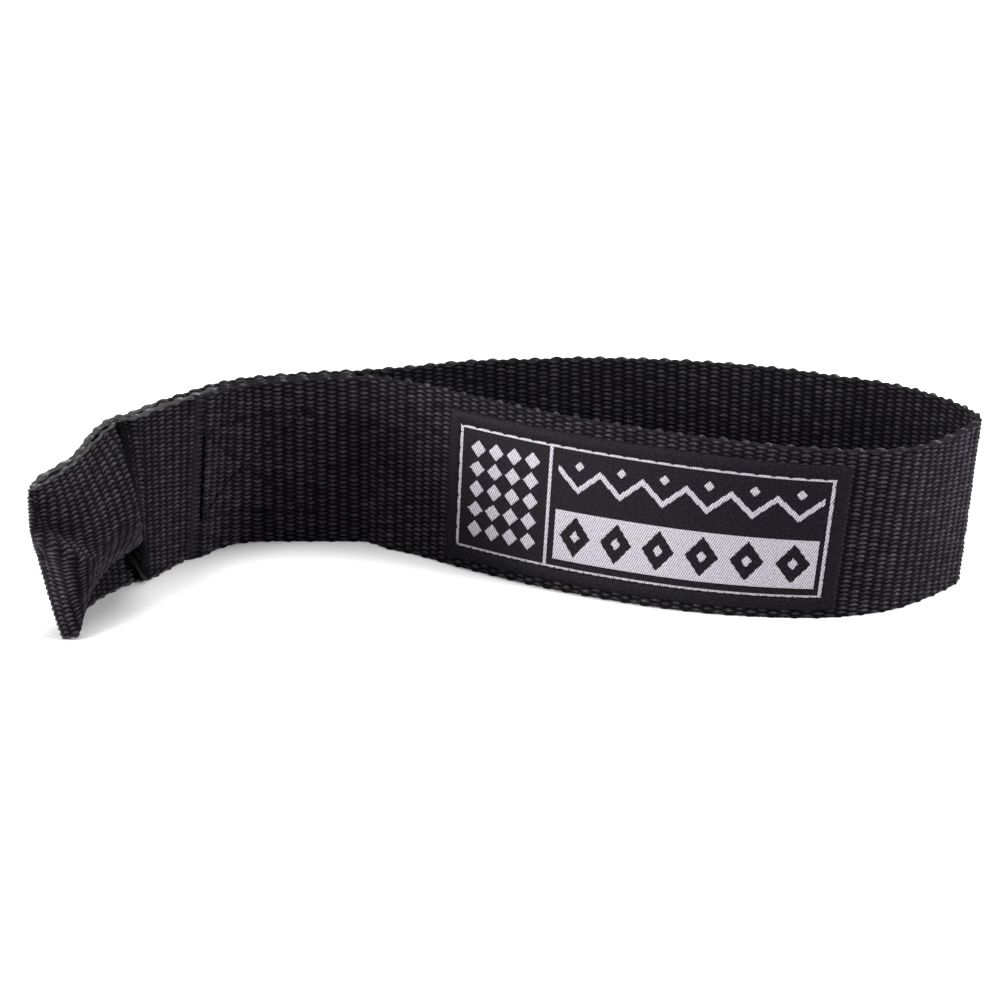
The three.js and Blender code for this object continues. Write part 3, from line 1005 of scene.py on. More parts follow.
@dataclass
class Thread:
    """Sewing thread laid along seam lines, sunk between the yarns and diving at each hole."""

    radius: float = 0.27
    crest: float = 0.66
    dive: float = 0.95
    slant: float = 0.12
    twist: float = 5.5
    sides: int = 9
    arch: float = 0.3
    thinning: float = 0.25
    plies: int = 3
    ply_relief: float = 0.14
    flatness: float = 0.9

    def lay(self, name: str, route: WebbingRoute, seams: list[SeamLine]) -> bpy.types.Object:
        """Makes the thread of one side of a seam.

        Args:
            name: The piece's name.
            route: The strip that it is sewn into.
            seams: Its rows, all on one face.

        Returns:
            The thread as one object.
        """
        shares = np.array(STITCH_SHARES)
        tubes, faces, uvs, count = [], [], [], 0
        for seam in seams:
            needles = seam.needle_points()
            start, step = needles[:-1, None], np.diff(needles, axis=0)[:, None]
            sideways = np.stack([-step[..., 1], step[..., 0]], -1) / length_of(step)
            lean = (shares - 0.5)[None, :, None] * self.slant * 2
            flat = (start + step * shares[None, :, None] + sideways * lean).reshape(-1, 2)
            rise = np.tile(np.sin(math.pi * shares) ** self.arch, len(step))
            flat = np.concatenate([flat, needles[-1:]])
            rise = np.concatenate([rise, [0.0]])
            sign = seam.face.value
            lift = sign * (self.crest - self.dive * (1 - rise))
            line = route.at(flat[:, 0], flat[:, 1], lift)
            side = route.normal(flat[:, 0], flat[:, 1]) * sign
            rings = self.rings(line, side, 1.0 - self.thinning * (1 - rise))
            tubes.append(rings.reshape(-1, 3))
            faces.append(ring_faces(len(line), self.sides) + count)
            uvs.append(ring_uvs(walked(line), self.sides, 2 * math.pi * self.radius))
            count += len(line) * self.sides
        piece = make_mesh(name, np.concatenate(tubes), faces, np.concatenate(uvs))
        piece.data.materials.append(ThreadFinish().material())
        return piece

    def rings(self, line: np.ndarray, side: np.ndarray, fullness: np.ndarray) -> np.ndarray:
        """Rings of a three-ply thread round a line.

        Args:
            line: Points along the thread.
            side: Direction out of the cloth at each point.
            fullness: Share of the full radius at each point.

        Returns:
            Points, one ring for each point of the line.
        """
        along = unit(np.gradient(line, axis=0))
        across = unit(np.cross(along, side))
        up = np.cross(across, along)
        turn = np.linspace(0, 2 * math.pi, self.sides, endpoint=False)[None, :]
        lay = walked(line)[:, None] * self.twist
        relief = 1 + self.ply_relief * np.cos(self.plies * turn + lay)
        reach = self.radius * fullness[:, None] * relief
        return (
            line[:, None]
            + across[:, None] * (np.cos(turn) * reach)[..., None]
            + up[:, None] * (np.sin(turn) * reach * self.flatness)[..., None]
        )


def length_of(vectors: np.ndarray) -> np.ndarray:
    """Length of vectors along the last axis, which is kept."""
    return np.linalg.norm(vectors, axis=-1, keepdims=True)


def ring_faces(rings: int, sides: int) -> np.ndarray:
    """Four-sided faces between rings of points, the last side joining the first.

    Args:
        rings: Number of rings.
        sides: Points on each ring.

    Returns:
        Corner numbers, one row for each face.
    """
    i = np.arange(rings - 1)[:, None] * sides
    k = np.arange(sides)[None, :]
    after = (k + 1) % sides
    quads = np.stack([i + k, i + after, i + sides + after, i + sides + k], -1)
    return quads.reshape(-1, 4)


def ring_uvs(along: np.ndarray, sides: int, girth: float) -> np.ndarray:
    """Flat coordinates for the corners of ring_faces, along the rings and round them.

    Args:
        along: Distance of each ring.
        sides: Points on each ring.
        girth: Length once round a ring.

    Returns:
        One row for each corner of each face.
    """
    i = np.arange(len(along) - 1)[:, None]
    k = np.arange(sides)[None, :]
    near, far = along[i] + 0 * k, along[i + 1] + 0 * k
    low, high = (k + 0 * i) * girth / sides, (k + 1 + 0 * i) * girth / sides
    corners = [[near, low], [near, high], [far, high], [far, low]]
    return np.stack([np.stack(pair, -1) for pair in corners], 2).reshape(-1, 2)


@dataclass(frozen=True)
class Selvedge:
    """Edge of the webbing, a slanting chain of yarn loops, one large and one small by turns."""

    width: float = 0.62
    points: int = 5
    relief: float = 0.75
    roundness: float = 0.8
    squareness: float = 0.2
    middle: float = 0.55
    lift: float = 0.5
    swell: tuple[float, float] = (0.7, 0.4)
    small_loop: float = 0.6
    slot_shade: float = 0.05
    shade_range: tuple[float, float] = (0.05, 1.1)
    # Stretch of the selvedge near the end loop with a glossier finish and a lighter colour; the
    # lighter colour is a painted highlight.
    highlight_stretch: tuple[float, float] = (388.0, 500.0)
    highlight_margin: float = 8.0
    highlight_fade: float = 15.0
    highlight_gain: float = 0.2


@dataclass(frozen=True)
class Rings:
    """Rings of points round the strip: distance, rib's number and quarter of the rib of each."""

    along: np.ndarray
    rib: np.ndarray
    quarter: np.ndarray


@dataclass
class Webbing:
    """The strip itself, woven rib by rib round its route."""

    route: WebbingRoute
    seams: list[SeamLine]
    edge: Selvedge = field(default_factory=Selvedge)
    rib: float = 2.35
    yarns: int = 36
    hollow_lift: float = 0.39
    relief: float = 0.58
    bow_share: float = 0.16
    bow_change: float = 8.0
    bow_settle: float = 1.5
    groove: float = 0.3
    groove_spread: float = 0.42
    groove_reach: float = 3.0
    groove_shares: tuple[float, float] = (0.75, 0.45)
    # Painted shade inside the loops: share of the crown colour kept on the inner face.
    inner_painted_shade: float = 0.78
    yarn_scatter: float = 0.12
    rib_scatter: float = 0.14
    shade_range: tuple[float, float] = (0.74, 1.0)
    border_scatter: float = 0.07
    pressed_rise: float = 0.55
    pressed_share: float = 0.45
    pressed_spread: float = 2.3
    melted_share: float = 0.4
    melted_spread: float = 1.0
    melted_shade: float = 0.5
    melted_shade_spread: float = 0.9
    # Painted shadow in the crease beside the seam row and low under the end loop's fold.
    crease_shadow: float = 0.94
    crease_shadow_spread: tuple[float, float] = (3.2, 1.4)
    fold_shadow_height: float = 14.0
    fold_shadow_at: float = 1.5
    fold_shadow_spread: float = 2.2
    cut_end: float = 3.4
    taper_power: float = 1.6
    closed_lifts: tuple[float, float] = (-1.35, 1.5)
    seed: int = 7

    def build(self) -> bpy.types.Object:
        """Weaves the strip.

        Returns:
            The webbing as one object.
        """
        rings = self.rings()
        along = rings.along
        margin = self.edge.width
        heights = np.linspace(margin, self.route.width - margin, 4 * self.yarns + 1)
        outer, outer_crown = self.face_points(Face.OUTER, rings, heights)
        inner, inner_crown = self.face_points(Face.INNER, rings, heights)
        top, edge_crown = self.edge_points_at(along, True)
        bottom, _ = self.edge_points_at(along, False)
        ring = np.concatenate([outer, top, inner[:, ::-1], bottom[:, ::-1]], 1)
        crown = np.concatenate([outer_crown, edge_crown, inner_crown[:, ::-1], edge_crown], 1)
        ring[..., 2] = np.maximum(ring[..., 2], 0)
        sides = ring.shape[1]
        quads = ring_faces(len(along), sides)[:, ::-1]
        uvs = ring_uvs(along, sides, 2 * self.route.width).reshape(-1, 4, 2)[:, ::-1]
        caps, cap_uvs = self.caps(len(along), len(heights), along[-1])
        piece = make_mesh(
            "webbing",
            ring.reshape(-1, 3),
            [quads, *caps],
            np.concatenate([uvs.reshape(-1, 2), *cap_uvs]),
        )
        self.dress(piece, along, len(heights), crown)
        return piece

    def dress(
        self, piece: bpy.types.Object, along: np.ndarray, face_count: int, crown: np.ndarray
    ) -> None:
        """Gives the strip its crown shares and its finishes.

        Args:
            piece: The strip.
            along: Distances of the rings.
            face_count: Points on each face of a ring.
            crown: Crown share of each point.
        """
        layer = piece.data.attributes.new("crown", "FLOAT", "POINT")
        layer.data.foreach_set("value", crown.astype(np.float32).ravel())
        finishes = {
            "woven_webbing": WebbingFinish(),
            "woven_selvedge": WebbingFinish(roughness=(0.24, 0.5), specular=0.07, filament=0.16),
            # Glossier finish on that stretch of selvedge; its lighter crown colour is a painted
            # highlight.
            "glossy_highlight_selvedge": WebbingFinish(
                crown=(0.04, 0.0365, 0.043, 1),
                warm=(0.043, 0.0365, 0.0385, 1),
                roughness=(0.2, 0.42),
                specular=0.3,
                filament=0.16,
            ),
        }
        for name, finish in finishes.items():
            piece.data.materials.append(finish.material(name))
        sides = 2 * (face_count + self.edge.points)
        place = np.arange((len(along) - 1) * sides) % sides
        above = (place >= face_count - 1) & (place < face_count + self.edge.points)
        low, high = self.edge.highlight_stretch
        in_highlight_stretch = (along[:-1] > low) & (along[:-1] < high)
        kinds = np.zeros(len(piece.data.polygons), np.int32)
        kinds[: len(place)] = above | (place >= sides - self.edge.points - 1)
        kinds[: len(place)] *= 1 + np.repeat(in_highlight_stretch, sides)
        piece.data.polygons.foreach_set("material_index", kinds)

    def rings(self) -> Rings:
        """Spaces the rings, four for each rib, with slightly uneven ribs.

        Returns:
            The rings, with one more at the end.
        """
        length = self.route.length
        count = round(length / self.rib)
        random = np.random.default_rng(self.seed)
        borders = np.linspace(0, length, count + 1)
        borders[1:-1] += random.uniform(-self.border_scatter, self.border_scatter, count - 1)
        quarter = np.tile(np.arange(4), count)
        number = np.repeat(np.arange(count), 4)
        widths = np.diff(borders)
        along = borders[number] + widths[number] * quarter / 4
        return Rings(np.append(along, length), np.append(number, count), np.append(quarter, 0))

    def face_points(
        self, face: Face, rings: Rings, heights: np.ndarray
    ) -> tuple[np.ndarray, np.ndarray]:
        """Woven surface of one face.

        Args:
            face: Which face of the strip.
            rings: The strip's rings.
            heights: Heights of the points on a ring.

        Returns:
            Points and their crown shares, one row for each ring.
        """
        random = np.random.default_rng(self.seed + face.value)
        along, rib = rings.along, rings.rib
        count = rib[-1] + 1
        shift = 2 * ((rib + (face is Face.INNER)) % 2)
        column = np.arange(len(heights))[None, :] + shift[:, None]
        phase, yarn = column % 4, column // 4
        crown = np.array(YARN_RISE_SHARES)[rings.quarter[:, None], phase]
        uneven = 1 + random.normal(0, self.yarn_scatter, (count, self.yarns + 2))
        crown = crown * uneven[rib[:, None], yarn]
        crown = crown * (1 - self.rib_scatter * random.random(count))[rib][:, None]
        bow = np.array(BOW_SHARES)[rings.quarter]
        bow = bow * np.tanh((along - self.route.loop_start) / self.bow_change)
        from_edge = np.minimum(heights, self.route.width - heights) - self.edge.width
        settle = ramp(from_edge, self.bow_settle)
        pitch = heights[4] - heights[0]
        height_grid = heights[None, :] + bow[:, None] * self.bow_share * pitch * settle
        along_grid = along[:, None] + 0 * height_grid
        calm = self.calm(along)[:, None]
        lift = self.hollow_lift + self.relief * (crown * (1 - calm) + self.pressed_rise * calm)
        lift = lift - self.sunk(face, along_grid, height_grid)
        lift = self.end_taper(along, lift, face)
        shade = random.uniform(*self.shade_range, (count, self.yarns + 2))
        shade = shade[rib[:, None], yarn]
        melted = bump(self.route.from_end(along), self.melted_shade_spread)[:, None]
        crown = crown * shade * (1 - melted) + self.melted_shade * melted
        # Painted shadow: the crown share is cut in the crease beside the seam row and low under the
        # end loop's fold, darkening the colour there.
        if face is Face.OUTER:
            beside = self.route.from_crease(along_grid, height_grid)
            beside = beside + self.route.handling.crease_lead
            crease_shadow_share = bump(beside, np.where(beside < 0, *self.crease_shadow_spread))
            from_seam = self.route.from_seam(along_grid)
            fold_shadow = 1 - ramp(height_grid, self.fold_shadow_height)
            fold_shadow *= bump(from_seam - self.fold_shadow_at, self.fold_shadow_spread)
            crown = crown * (1 - self.crease_shadow * np.maximum(crease_shadow_share, fold_shadow))
        else:
            # Painted shade on the inner face, inside the loops.
            crown = crown * self.inner_painted_shade
        return self.route.at(along_grid, height_grid, face.value * lift), crown

    def calm(self, along: np.ndarray) -> np.ndarray:
        """Share of the weave's relief that is pressed or melted flat at each ring.

        Args:
            along: Distances of the rings.

        Returns:
            Shares from 0 to 1.
        """
        melted = self.melted_share * bump(self.route.from_end(along), self.melted_spread)
        pressed = self.pressed_share * bump(along - self.route.loop_start, self.pressed_spread)
        return np.maximum(melted, pressed)

    def end_taper(self, along: np.ndarray, lift: np.ndarray, face: Face) -> np.ndarray:
        """Draws the faces together at the two cut ends, towards the layer behind.

        Args:
            along: Distances of the rings.
            lift: Lift of each point of a ring out of its own face.
            face: Which face of the strip.

        Returns:
            The lifts with the taper.
        """
        from_end = self.route.from_end(along)[:, None]
        drawn = (1 - ramp(from_end, self.cut_end)) ** self.taper_power
        closed = self.closed_lifts[face is Face.INNER]
        return lift * (1 - drawn) + closed * drawn

    def edge_points_at(self, along: np.ndarray, upper: bool) -> tuple[np.ndarray, np.ndarray]:
        """Selvedge round one edge, like a slanting chain of loops.

        Args:
            along: Distances of the rings.
            upper: True for the upper edge.

        Returns:
            Points from the outer face to the inner one, and their crown shares.
        """
        edge = self.edge
        angle = np.linspace(0, math.pi, edge.points + 2)[1:-1]
        phase = along[:, None] / self.rib + angle[None, :] / math.pi
        every_second = np.where(np.floor(phase) % 2 == 0, 1.0, edge.small_loop)
        chain = np.abs(np.sin(math.pi * phase)) ** edge.roundness * every_second
        reach = edge.width * np.sin(angle) ** edge.roundness
        reach = reach + edge.relief * (chain - edge.middle)
        reach = reach * np.sin(angle) ** edge.squareness
        height = self.route.width - edge.width + reach if upper else edge.width - reach
        lift = np.cos(angle) * (self.hollow_lift + edge.lift)
        lift = lift * (edge.swell[0] + edge.swell[1] * chain)
        outer = self.end_taper(along, np.abs(lift), Face.OUTER)
        inner = -self.end_taper(along, np.abs(lift), Face.INNER)
        lift = np.where(lift > 0, outer, inner)
        random = np.random.default_rng(self.seed + 3)
        shade = random.uniform(*edge.shade_range, (len(along), edge.points))
        # Painted highlight: crowns made lighter along the glossy stretch near the end loop.
        low, high = edge.highlight_stretch
        highlight_stretch = ramp(along - low + edge.highlight_margin, edge.highlight_fade)
        highlight_stretch = highlight_stretch * ramp(high + edge.highlight_margin - along, edge.highlight_fade)
        shade = shade * (1 + edge.highlight_gain * highlight_stretch[:, None])
        # Painted shade: the slots between the edge loops are darkened through the crown share.
        crown = (edge.slot_shade + (1 - edge.slot_shade) * chain**2) * shade
        return self.route.at(along[:, None] + 0 * height, height, lift), crown

    def sunk(self, face: Face, along: np.ndarray, height: np.ndarray) -> np.ndarray:
        """How far the seams pull one face in.

        Args:
            face: Which face of the strip.
            along: Distances along the strip.
            height: Heights up its width.

        Returns:
            Depths below the woven surface.
        """
        depth = np.zeros_like(height)
        for seam in self.seams:
            if seam.face is not face:
                continue
            needles = seam.needle_points()
            low, high = needles.min(0) - self.groove_reach, needles.max(0) + self.groove_reach
            rows = np.flatnonzero((along[:, 0] > low[0]) & (along[:, 0] < high[0]))
            x, y = along[rows], height[rows]
            pulled = depth[rows]
            for start, end in zip(needles, needles[1:]):
                run = end - start
                length = np.hypot(*run)
                t = ((x - start[0]) * run[0] + (y - start[1]) * run[1]) / length**2
                t = np.clip(t, 0, 1)
                away = np.hypot(x - start[0] - t * run[0], y - start[1] - t * run[1])
                near_hole = 2 * np.abs(t - 0.5)
                between, at_hole = self.groove_shares
                pull = bump(away, self.groove_spread) * (between + at_hole * near_hole**3)
                pulled = np.maximum(pulled, self.groove * pull)
            depth[rows] = pulled
        return depth

    def caps(
        self, rings: int, face_count: int, length: float
    ) -> tuple[list[np.ndarray], list[np.ndarray]]:
        """Faces that close the two cut ends.

        Args:
            rings: Number of rings.
            face_count: Points on each face of a ring.
            length: Length of the strip.

        Returns:
            Faces, and flat coordinates for their corners.
        """
        sides = 2 * (face_count + self.edge.points)
        outer = np.arange(face_count)
        inner = face_count + self.edge.points + np.arange(face_count)[::-1]
        quads = np.stack([outer[:-1], outer[1:], inner[1:], inner[:-1]], -1)
        top = np.arange(face_count - 1, face_count + self.edge.points + 1)[None]
        bottom = np.append(np.arange(inner[0], sides), 0)[None]
        last = (rings - 1) * sides
        first_faces = [quads, top, bottom]
        faces = first_faces + [rows[:, ::-1] + last for rows in first_faces]
        uvs = []
        for rows, at in zip(faces, [0.0] * 3 + [length] * 3):
            place = (rows % sides).ravel() * 2 * self.route.width / sides
            uvs.append(np.stack([np.full(len(place), at), place], -1))
        return faces, uvs


@dataclass
class WovenLabel:
    """Woven label sewn on the front run, with a pale frame and plain lozenge ornament."""

    route: WebbingRoute
    length: float = 89.2
    height: float = 32.6
    offset: float = 21.6
    drop: float = 0.7
    cell: float = 0.25
    back_lift: float = 0.98
    thickness: float = 0.32
    frame_inset: float = 3.3
    frame_width: float = 0.66
    divider: float = 25.6
    stitch: float = 3.5
    stitch_dip: float = 0.16
    dip_shares: tuple[float, float] = (0.6, 0.5)
    hole_spread: float = 0.09
    notch: float = 0.13
    notch_margin: float = 0.1
    corner_margin: float = 0.01
    yarn_rise: float = 0.07
    fold_drop: float = 0.28
    fold_width: float = 0.8
    edge_swell: float = 0.16
    edge_swell_at: float = 1.5
    seam_outside: float = 0.35
    patch_margin: tuple[float, float] = (2.2, 2.0)
    patch_cells: tuple[int, int] = (4, 5)
    patch_lozenge: float = 0.42
    band_margin: tuple[float, float] = (2.0, 1.5)
    band_low: float = 1.7
    band_high: float = 0.4
    band_repeats: int = 6
    band_lozenge: tuple[float, float] = (0.38, 4.4)
    band_core: float = 0.3
    zigzag_slope: float = 8.32
    ribbon: float = 0.72
    dot: float = 1.1
    dot_rise: float = 3.2

    def span(self) -> tuple[float, float]:
        """Where the label starts and ends along the strip."""
        start = self.route.neck.front_end + self.offset
        return self.route.from_foot(start), self.route.from_foot(start + self.length)

    @property
    def low(self) -> float:
        """Height of the label's lower edge up the webbing."""
        return (self.route.width - self.height) / 2 - self.drop

    def pale(self, x: np.ndarray, y: np.ndarray) -> np.ndarray:
        """Says which places of the label are woven in pale yarn.

        Args:
            x: Distances from the label's left edge.
            y: Heights above its lower edge.

        Returns:
            True where the yarn is pale.
        """
        inset, from_hole = self.border(x, y)
        line = self.frame_width / 2
        notch = np.abs(from_hole) * self.stitch < self.notch
        notch &= inset < self.frame_inset - self.notch_margin
        pale = (np.abs(inset - self.frame_inset) < line) & ~notch
        pale |= (inset > self.frame_inset) & (np.abs(x - self.divider) < line)
        return pale | self.patch(x, y) | self.band(x, y)

    def border(self, x: np.ndarray, y: np.ndarray) -> tuple[np.ndarray, np.ndarray]:
        """Measures places from the label's border.

        Args:
            x: Distances from the label's left edge.
            y: Heights above its lower edge.

        Returns:
            Distances in from the nearest edge, and places along that edge from the nearest needle
            hole, in stitches.
        """
        half_x, half_y = self.length / 2, self.height / 2
        from_side, from_long_edge = half_x - np.abs(x - half_x), half_y - np.abs(y - half_y)
        inset = np.minimum(from_side, from_long_edge)
        run = np.where(from_long_edge < inset + self.corner_margin, x, y)
        return inset, (run / self.stitch + 0.5) % 1 - 0.5

    def patch(self, x: np.ndarray, y: np.ndarray) -> np.ndarray:
        """Says which places of the left panel are pale: a plain grid of small lozenges.

        Args:
            x: Distances from the label's left edge.
            y: Heights above its lower edge.

        Returns:
            True where the yarn is pale.
        """
        margin_x, margin_y = self.patch_margin
        columns, rows = self.patch_cells
        left, right = self.frame_inset + margin_x, self.divider - margin_x
        low, high = self.frame_inset + margin_y, self.height - self.frame_inset - margin_y
        column = (x - left) / (right - left) * columns
        row = (y - low) / (high - low) * rows
        inside = (column > 0) & (column < columns) & (row > 0) & (row < rows)
        spot = np.abs(column % 1 - 0.5) + np.abs(row % 1 - 0.5)
        return inside & (spot < self.patch_lozenge)

    def band(self, x: np.ndarray, y: np.ndarray) -> np.ndarray:
        """Says which places of the right panel are pale: a band with lozenges, a zigzag and dots.

        Args:
            x: Distances from the label's left edge.
            y: Heights above its lower edge.

        Returns:
            True where the yarn is pale.
        """
        left = self.divider + self.band_margin[0]
        right = self.length - self.frame_inset - self.band_margin[1]
        low, high = self.frame_inset + self.band_low, self.height / 2 - self.band_high
        inner = (x > left) & (x < right)
        pitch = (right - left) / self.band_repeats
        beat = np.abs((x - left) / pitch % 1 - 0.5)
        across, up = self.band_lozenge
        dark = beat / across + np.abs(y - (low + high) / 2) / up
        pale = (y > low) & (y < high) & ~((dark < 1) & (dark > self.band_core))
        middle = (high + self.height - self.frame_inset) / 2
        zigzag = middle + self.zigzag_slope * (beat - 0.25)
        pale |= np.abs(y - zigzag) < self.ribbon
        pale |= beat * pitch + np.abs(y - middle - self.dot_rise) < self.dot
        return inner & pale

    def build(self) -> bpy.types.Object:
        """Makes the label.

        Returns:
            The label as one object.
        """
        start, end = self.span()
        columns = round(self.length / self.cell)
        rows = round(self.height / self.cell)
        x = np.linspace(0, self.length, columns + 1)
        y = np.linspace(0, self.height, rows + 1)
        x_grid, y_grid = np.meshgrid(x, y, indexing="ij")
        centre_x, centre_y = np.meshgrid((x[1:] + x[:-1]) / 2, (y[1:] + y[:-1]) / 2, indexing="ij")
        pale = self.pale(centre_x, centre_y)
        raised = self.corner_mean(pale.astype(float))
        along = start + (end - start) * x_grid / self.length
        low = self.low
        lift = self.back_lift + self.thickness + self.yarn_rise * raised
        lift = lift + self.puff(x_grid, y_grid)
        front = self.route.at(along, low + y_grid, lift)
        back = self.route.at(along, low + y_grid, np.full(lift.shape, self.back_lift))
        points = np.concatenate([front.reshape(-1, 3), back.reshape(-1, 3)])
        cells = self.cells(columns, rows)
        behind = cells[:, ::-1] + front.size // 3
        rim = self.rim(columns, rows, front.size // 3)
        faces = np.concatenate([cells, behind, rim])
        flat = np.stack([x_grid.ravel(), y_grid.ravel()], -1)
        uvs = np.concatenate([flat, flat])[faces.ravel()]
        piece = make_mesh("woven_label_piece", points, [faces], uvs)
        self.dress(piece, pale)
        return piece

    def corner_mean(self, cells: np.ndarray) -> np.ndarray:
        """Mean of the cells round each corner of the label's grid.

        Args:
            cells: Value of each cell.

        Returns:
            Value at each corner.
        """
        padded = np.pad(cells, 1, mode="edge")
        total = padded[1:, 1:] + padded[:-1, 1:] + padded[1:, :-1] + padded[:-1, :-1]
        return total / 4

    def puff(self, x: np.ndarray, y: np.ndarray) -> np.ndarray:
        """Height of the label's soft shape: a rounded folded edge, and a dip along the seam.

        Args:
            x: Distances from the label's left edge.
            y: Heights above its lower edge.

        Returns:
            Heights above the flat label.
        """
        inset, from_hole = self.border(x, y)
        fold = self.fold_drop * (1 - np.sqrt(ramp(inset, self.fold_width)))
        swell = self.edge_swell * bump(inset - self.edge_swell_at, self.fold_width)
        seam = bump(inset - self.frame_inset + self.seam_outside, self.seam_outside)
        between, at_hole = self.dip_shares
        seam = self.stitch_dip * seam * (between + at_hole * bump(from_hole, self.hole_spread))
        return swell - fold - seam

    def cells(self, columns: int, rows: int) -> np.ndarray:
        """Faces of the label's front grid.

        Args:
            columns: Cells along the label.
            rows: Cells up the label.

        Returns:
            Corner numbers, one row for each face.
        """
        i, j = np.meshgrid(np.arange(columns), np.arange(rows), indexing="ij")
        a = i * (rows + 1) + j
        b = a + rows + 1
        return np.stack([a, b, b + 1, a + 1], -1).reshape(-1, 4)

    def rim(self, columns: int, rows: int, count: int) -> np.ndarray:
        """Faces that join the front to the back round the label's edge.

        Args:
            columns: Cells along the label.
            rows: Cells up the label.
            count: Corners of the front grid.

        Returns:
            Corner numbers, one row for each face.
        """
        bottom = np.arange(columns + 1) * (rows + 1)
        right = columns * (rows + 1) + np.arange(rows + 1)
        top = bottom[::-1] + rows
        left = np.arange(rows + 1)[::-1]
        loop = np.concatenate([bottom[:-1], right[:-1], top[:-1], left[:-1]])
        after = np.roll(loop, -1)
        return np.stack([after, loop, loop + count, after + count], -1)

    def dress(self, piece: bpy.types.Object, pale: np.ndarray) -> None:
        """Gives the label its two yarns.

        Args:
            piece: The label.
            pale: Which cells of the front are pale.
        """
        ground = TwillFinish(
            "label_ground",
            raised=(0.0058, 0.0049, 0.0069, 1),
            sunken=(0.0011, 0.001, 0.0014, 1),
            pitch=0.5,
            angle=math.radians(-28),
            roughness=0.6,
            specular=0.04,
            grain=9.0,
        )
        silver = TwillFinish(
            "label_silver",
            raised=(0.268, 0.255, 0.283, 1),
            sunken=(0.075, 0.07, 0.08, 1),
            pitch=0.46,
            angle=math.radians(-24),
            roughness=0.5,
            specular=0.25,
            grain=2.2,
        )
        for finish in (ground, silver):
            piece.data.materials.append(finish.material())
        kinds = np.zeros(len(piece.data.polygons), np.int32)
        kinds[: pale.size] = pale.ravel()
        piece.data.polygons.foreach_set("material_index", kinds)


@dataclass
class Sewing:
    """All seams of the strap."""

    route: WebbingRoute
    stitch: float = 2.75
    box_length: float = 31.4
    box_far_height: float = 20.0
    box_near_height: float = 25.0
    box_inset: float = 2.4
    seam_inset: float = 0.8
    seam_edge: float = 2.0
    label_stitch: float = 3.5
    label_inset: float = 2.85

    def box(self, layer: NeckLayer) -> list[SeamLine]:
        """Box and cross seam of the neck.

        Args:
            layer: The neck's front or rear layer.

        Returns:
            Its rows.
        """
        neck = self.route.neck
        far = neck.front_end - self.box_inset
        near = far - self.box_length
        middle = self.route.width / 2
        far_low, far_high = middle - self.box_far_height / 2, middle + self.box_far_height / 2
        near_low, near_high = middle - self.box_near_height / 2, middle + self.box_near_height / 2
        a, b = self.route.on_layer(layer, far), self.route.on_layer(layer, near)
        around = [(a, far_low), (b, near_low), (b, near_high), (a, far_high)]
        around += [(a, far_low), (b, near_high)]
        return [
            SeamLine(around, self.stitch, Face.OUTER),
            SeamLine([(b, near_low), (a, far_high)], self.stitch, Face.OUTER),
        ]

    def end_row(self, layer: NeckLayer) -> list[SeamLine]:
        """Seam row that closes the end loop.

        Args:
            layer: The neck's layer on which it comes out.

        Returns:
            Its one row.
        """
        distance = self.route.neck.length - self.seam_inset
        place = self.route.on_layer(layer, distance)
        ends = [(place, self.seam_edge), (place, self.route.width - self.seam_edge)]
        return [SeamLine(ends, self.stitch, Face.OUTER)]

    def label(self, label: WovenLabel, face: Face) -> list[SeamLine]:
        """Seam round the label.

        Args:
            label: The label.
            face: The label's side of the strip, or the other side.

        Returns:
            Its one row.
        """
        start, end = label.span()
        low = label.low + self.label_inset
        high = label.low + label.height - self.label_inset
        a, b = start + self.label_inset, end - self.label_inset
        around = [(a, low), (b, low), (b, high), (a, high), (a, low)]
        return [SeamLine(around, self.label_stitch, face)]


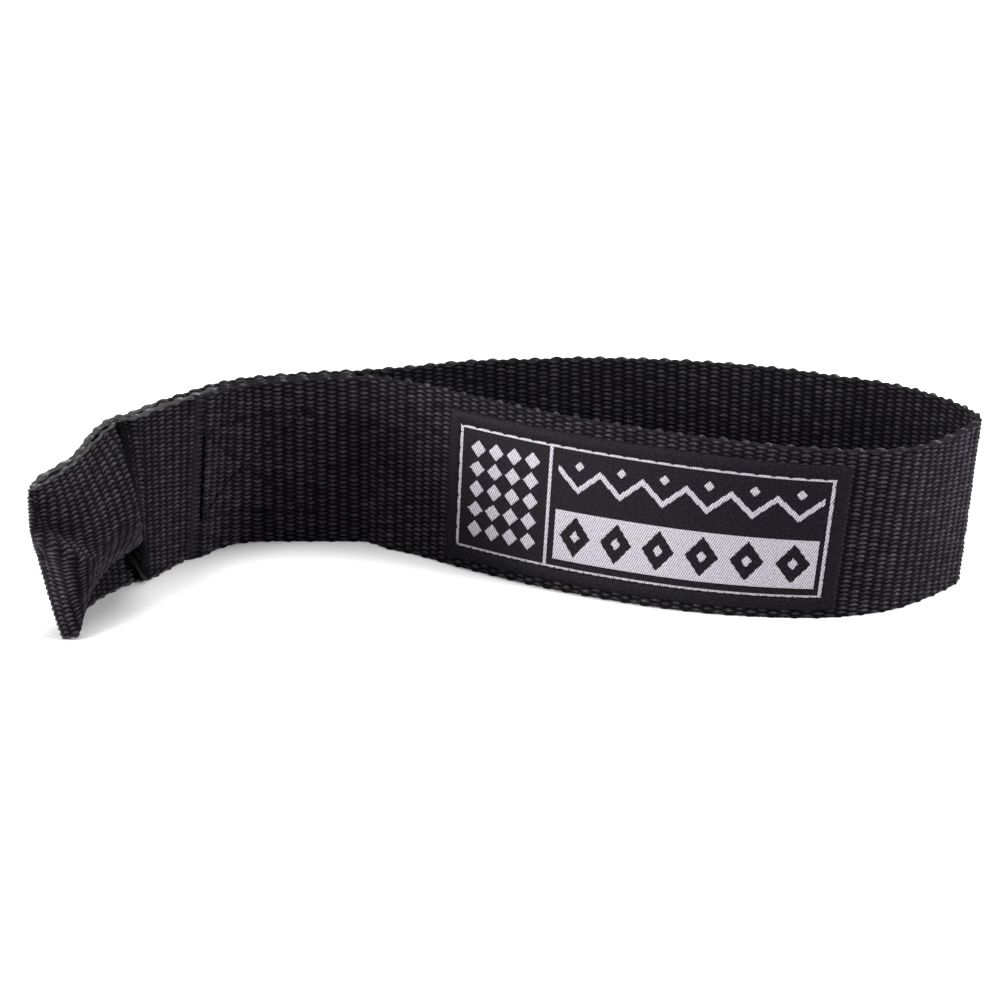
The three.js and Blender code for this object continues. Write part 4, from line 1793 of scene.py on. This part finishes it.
@dataclass
class Studio:
    """Pale floor, soft light and the camera at the photograph's angle."""

    target: Place = (-1.955, -3.4, 19.0)
    elevation: float = math.radians(20)
    distance: float = 1000.0
    pixels_per_millimetre: float = 4.7
    picture: float = 1000.0
    sensor: float = 36.0
    floor_reach: float = 6000.0
    floor_colour: Colour = (0.44, 0.44, 0.443, 1)
    sky_strength: float = 0.15

    def camera(self) -> None:
        """Sets up the camera."""
        data = bpy.data.cameras.new("camera")
        data.sensor_width = self.sensor
        data.lens = self.sensor * self.distance * self.pixels_per_millimetre / self.picture
        camera = add_object("camera", data)
        target = Vector(self.target) * METRES
        back = Vector((0, -math.cos(self.elevation), math.sin(self.elevation)))
        camera.location = target + back * self.distance * METRES
        camera.rotation_euler = facing(-back)
        bpy.context.scene.camera = camera

    def floor(self) -> None:
        """Lays the floor."""
        square = np.array([[-1, -1, 0], [1, -1, 0], [1, 1, 0], [-1, 1, 0]], float)
        points = square * self.floor_reach
        floor = make_mesh("floor", points, [np.array([[0, 1, 2, 3]])], smooth=False)
        shader = Shader("pale_floor")
        shader.set(Base_Color=self.floor_colour, Roughness=0.9, Specular_IOR_Level=0.1)
        floor.data.materials.append(shader.material)

    def light(
        self, name: str, place: Place, size: tuple[float, float], power: float
    ) -> None:
        """Hangs one soft box aimed at the strap.

        Args:
            name: Its name.
            place: Where it hangs, in millimetres.
            size: Its width and height in millimetres.
            power: Its power in watts.
        """
        data = bpy.data.lights.new(name, "AREA")
        data.shape = "RECTANGLE"
        data.size, data.size_y = size[0] * METRES, size[1] * METRES
        data.energy = power
        lamp = add_object(name, data)
        lamp.location = Vector(place) * METRES
        lamp.rotation_euler = facing(Vector(self.target) * METRES - lamp.location)

    def build(self) -> None:
        """Sets up the floor and the light."""
        self.floor()
        self.light("top_soft_box", (0, 120, 850), (700, 420), 13.0)
        self.light("key_soft_box", (-500, -400, 700), (250, 250), 6.8)
        self.light("left_soft_box", (-800, -200, 170), (200, 250), 22.0)
        self.light("right_soft_box", (330, -110, 180), (90, 140), 3.9)
        self.light("back_soft_box", (60, 560, 640), (300, 300), 4.5)
        world = bpy.data.worlds.new("studio")
        world.use_nodes = True
        sky = world.node_tree.nodes["Background"]
        sky.inputs["Color"].default_value = (1, 1, 1, 1)
        sky.inputs["Strength"].default_value = self.sky_strength
        bpy.context.scene.world = world
        bpy.context.scene.view_settings.view_transform = "Standard"


def main() -> None:
    """Builds the strap in order and reports each piece."""
    logging.basicConfig(level=logging.INFO, format="%(name)s: %(message)s")
    studio = Studio()
    studio.camera()
    route = WebbingRoute()
    LOG.info("strip is %.1f mm long", route.length)
    label = WovenLabel(route)
    sewing = Sewing(route)
    front_box, rear_box = sewing.box(NeckLayer.FRONT), sewing.box(NeckLayer.REAR)
    front_row = sewing.end_row(NeckLayer.TUCKED)
    rear_row = sewing.end_row(NeckLayer.REAR)
    label_back = sewing.label(label, Face.INNER)
    seams = [*front_box, *rear_box, *front_row, *rear_row, *label_back]

    webbing = Webbing(route, seams).build()
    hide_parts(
        "loop_strap", "tucked_end", "neck_fold_front", "neck_fold_rear", "end_loop"
    )
    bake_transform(webbing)
    LOG.info("webbing: %d faces", len(webbing.data.polygons))

    cloth = label.build()
    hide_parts("woven_label")
    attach(cloth, "strap")
    LOG.info("label: %d faces", len(cloth.data.polygons))

    sunk = Thread()
    on_label = Thread(radius=0.18, crest=1.24, dive=0.5, slant=0.3)
    label_front = sewing.label(label, Face.OUTER)
    threads = [
        ("box_needle_stitches", sunk, front_box, "strap", "box_needle_thread"),
        ("box_bobbin_stitches", sunk, rear_box, "strap", "box_bobbin_thread"),
        ("end_row_needle_stitches", sunk, front_row, "end_loop", "end_seam_needle_thread"),
        ("end_row_bobbin_stitches", sunk, rear_row, "end_loop", "end_seam_bobbin_thread"),
        ("label_needle_stitches", on_label, label_front, "strap", "label_needle_thread"),
        ("label_bobbin_stitches", sunk, label_back, "strap", "label_bobbin_thread"),
    ]
    for name, kind, rows, body, node in threads:
        piece = kind.lay(name, route, rows)
        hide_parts(node)
        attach(piece, body)
        LOG.info("%s: %d faces", name, len(piece.data.polygons))
    studio.build()


if __name__ == "__main__":
    main()
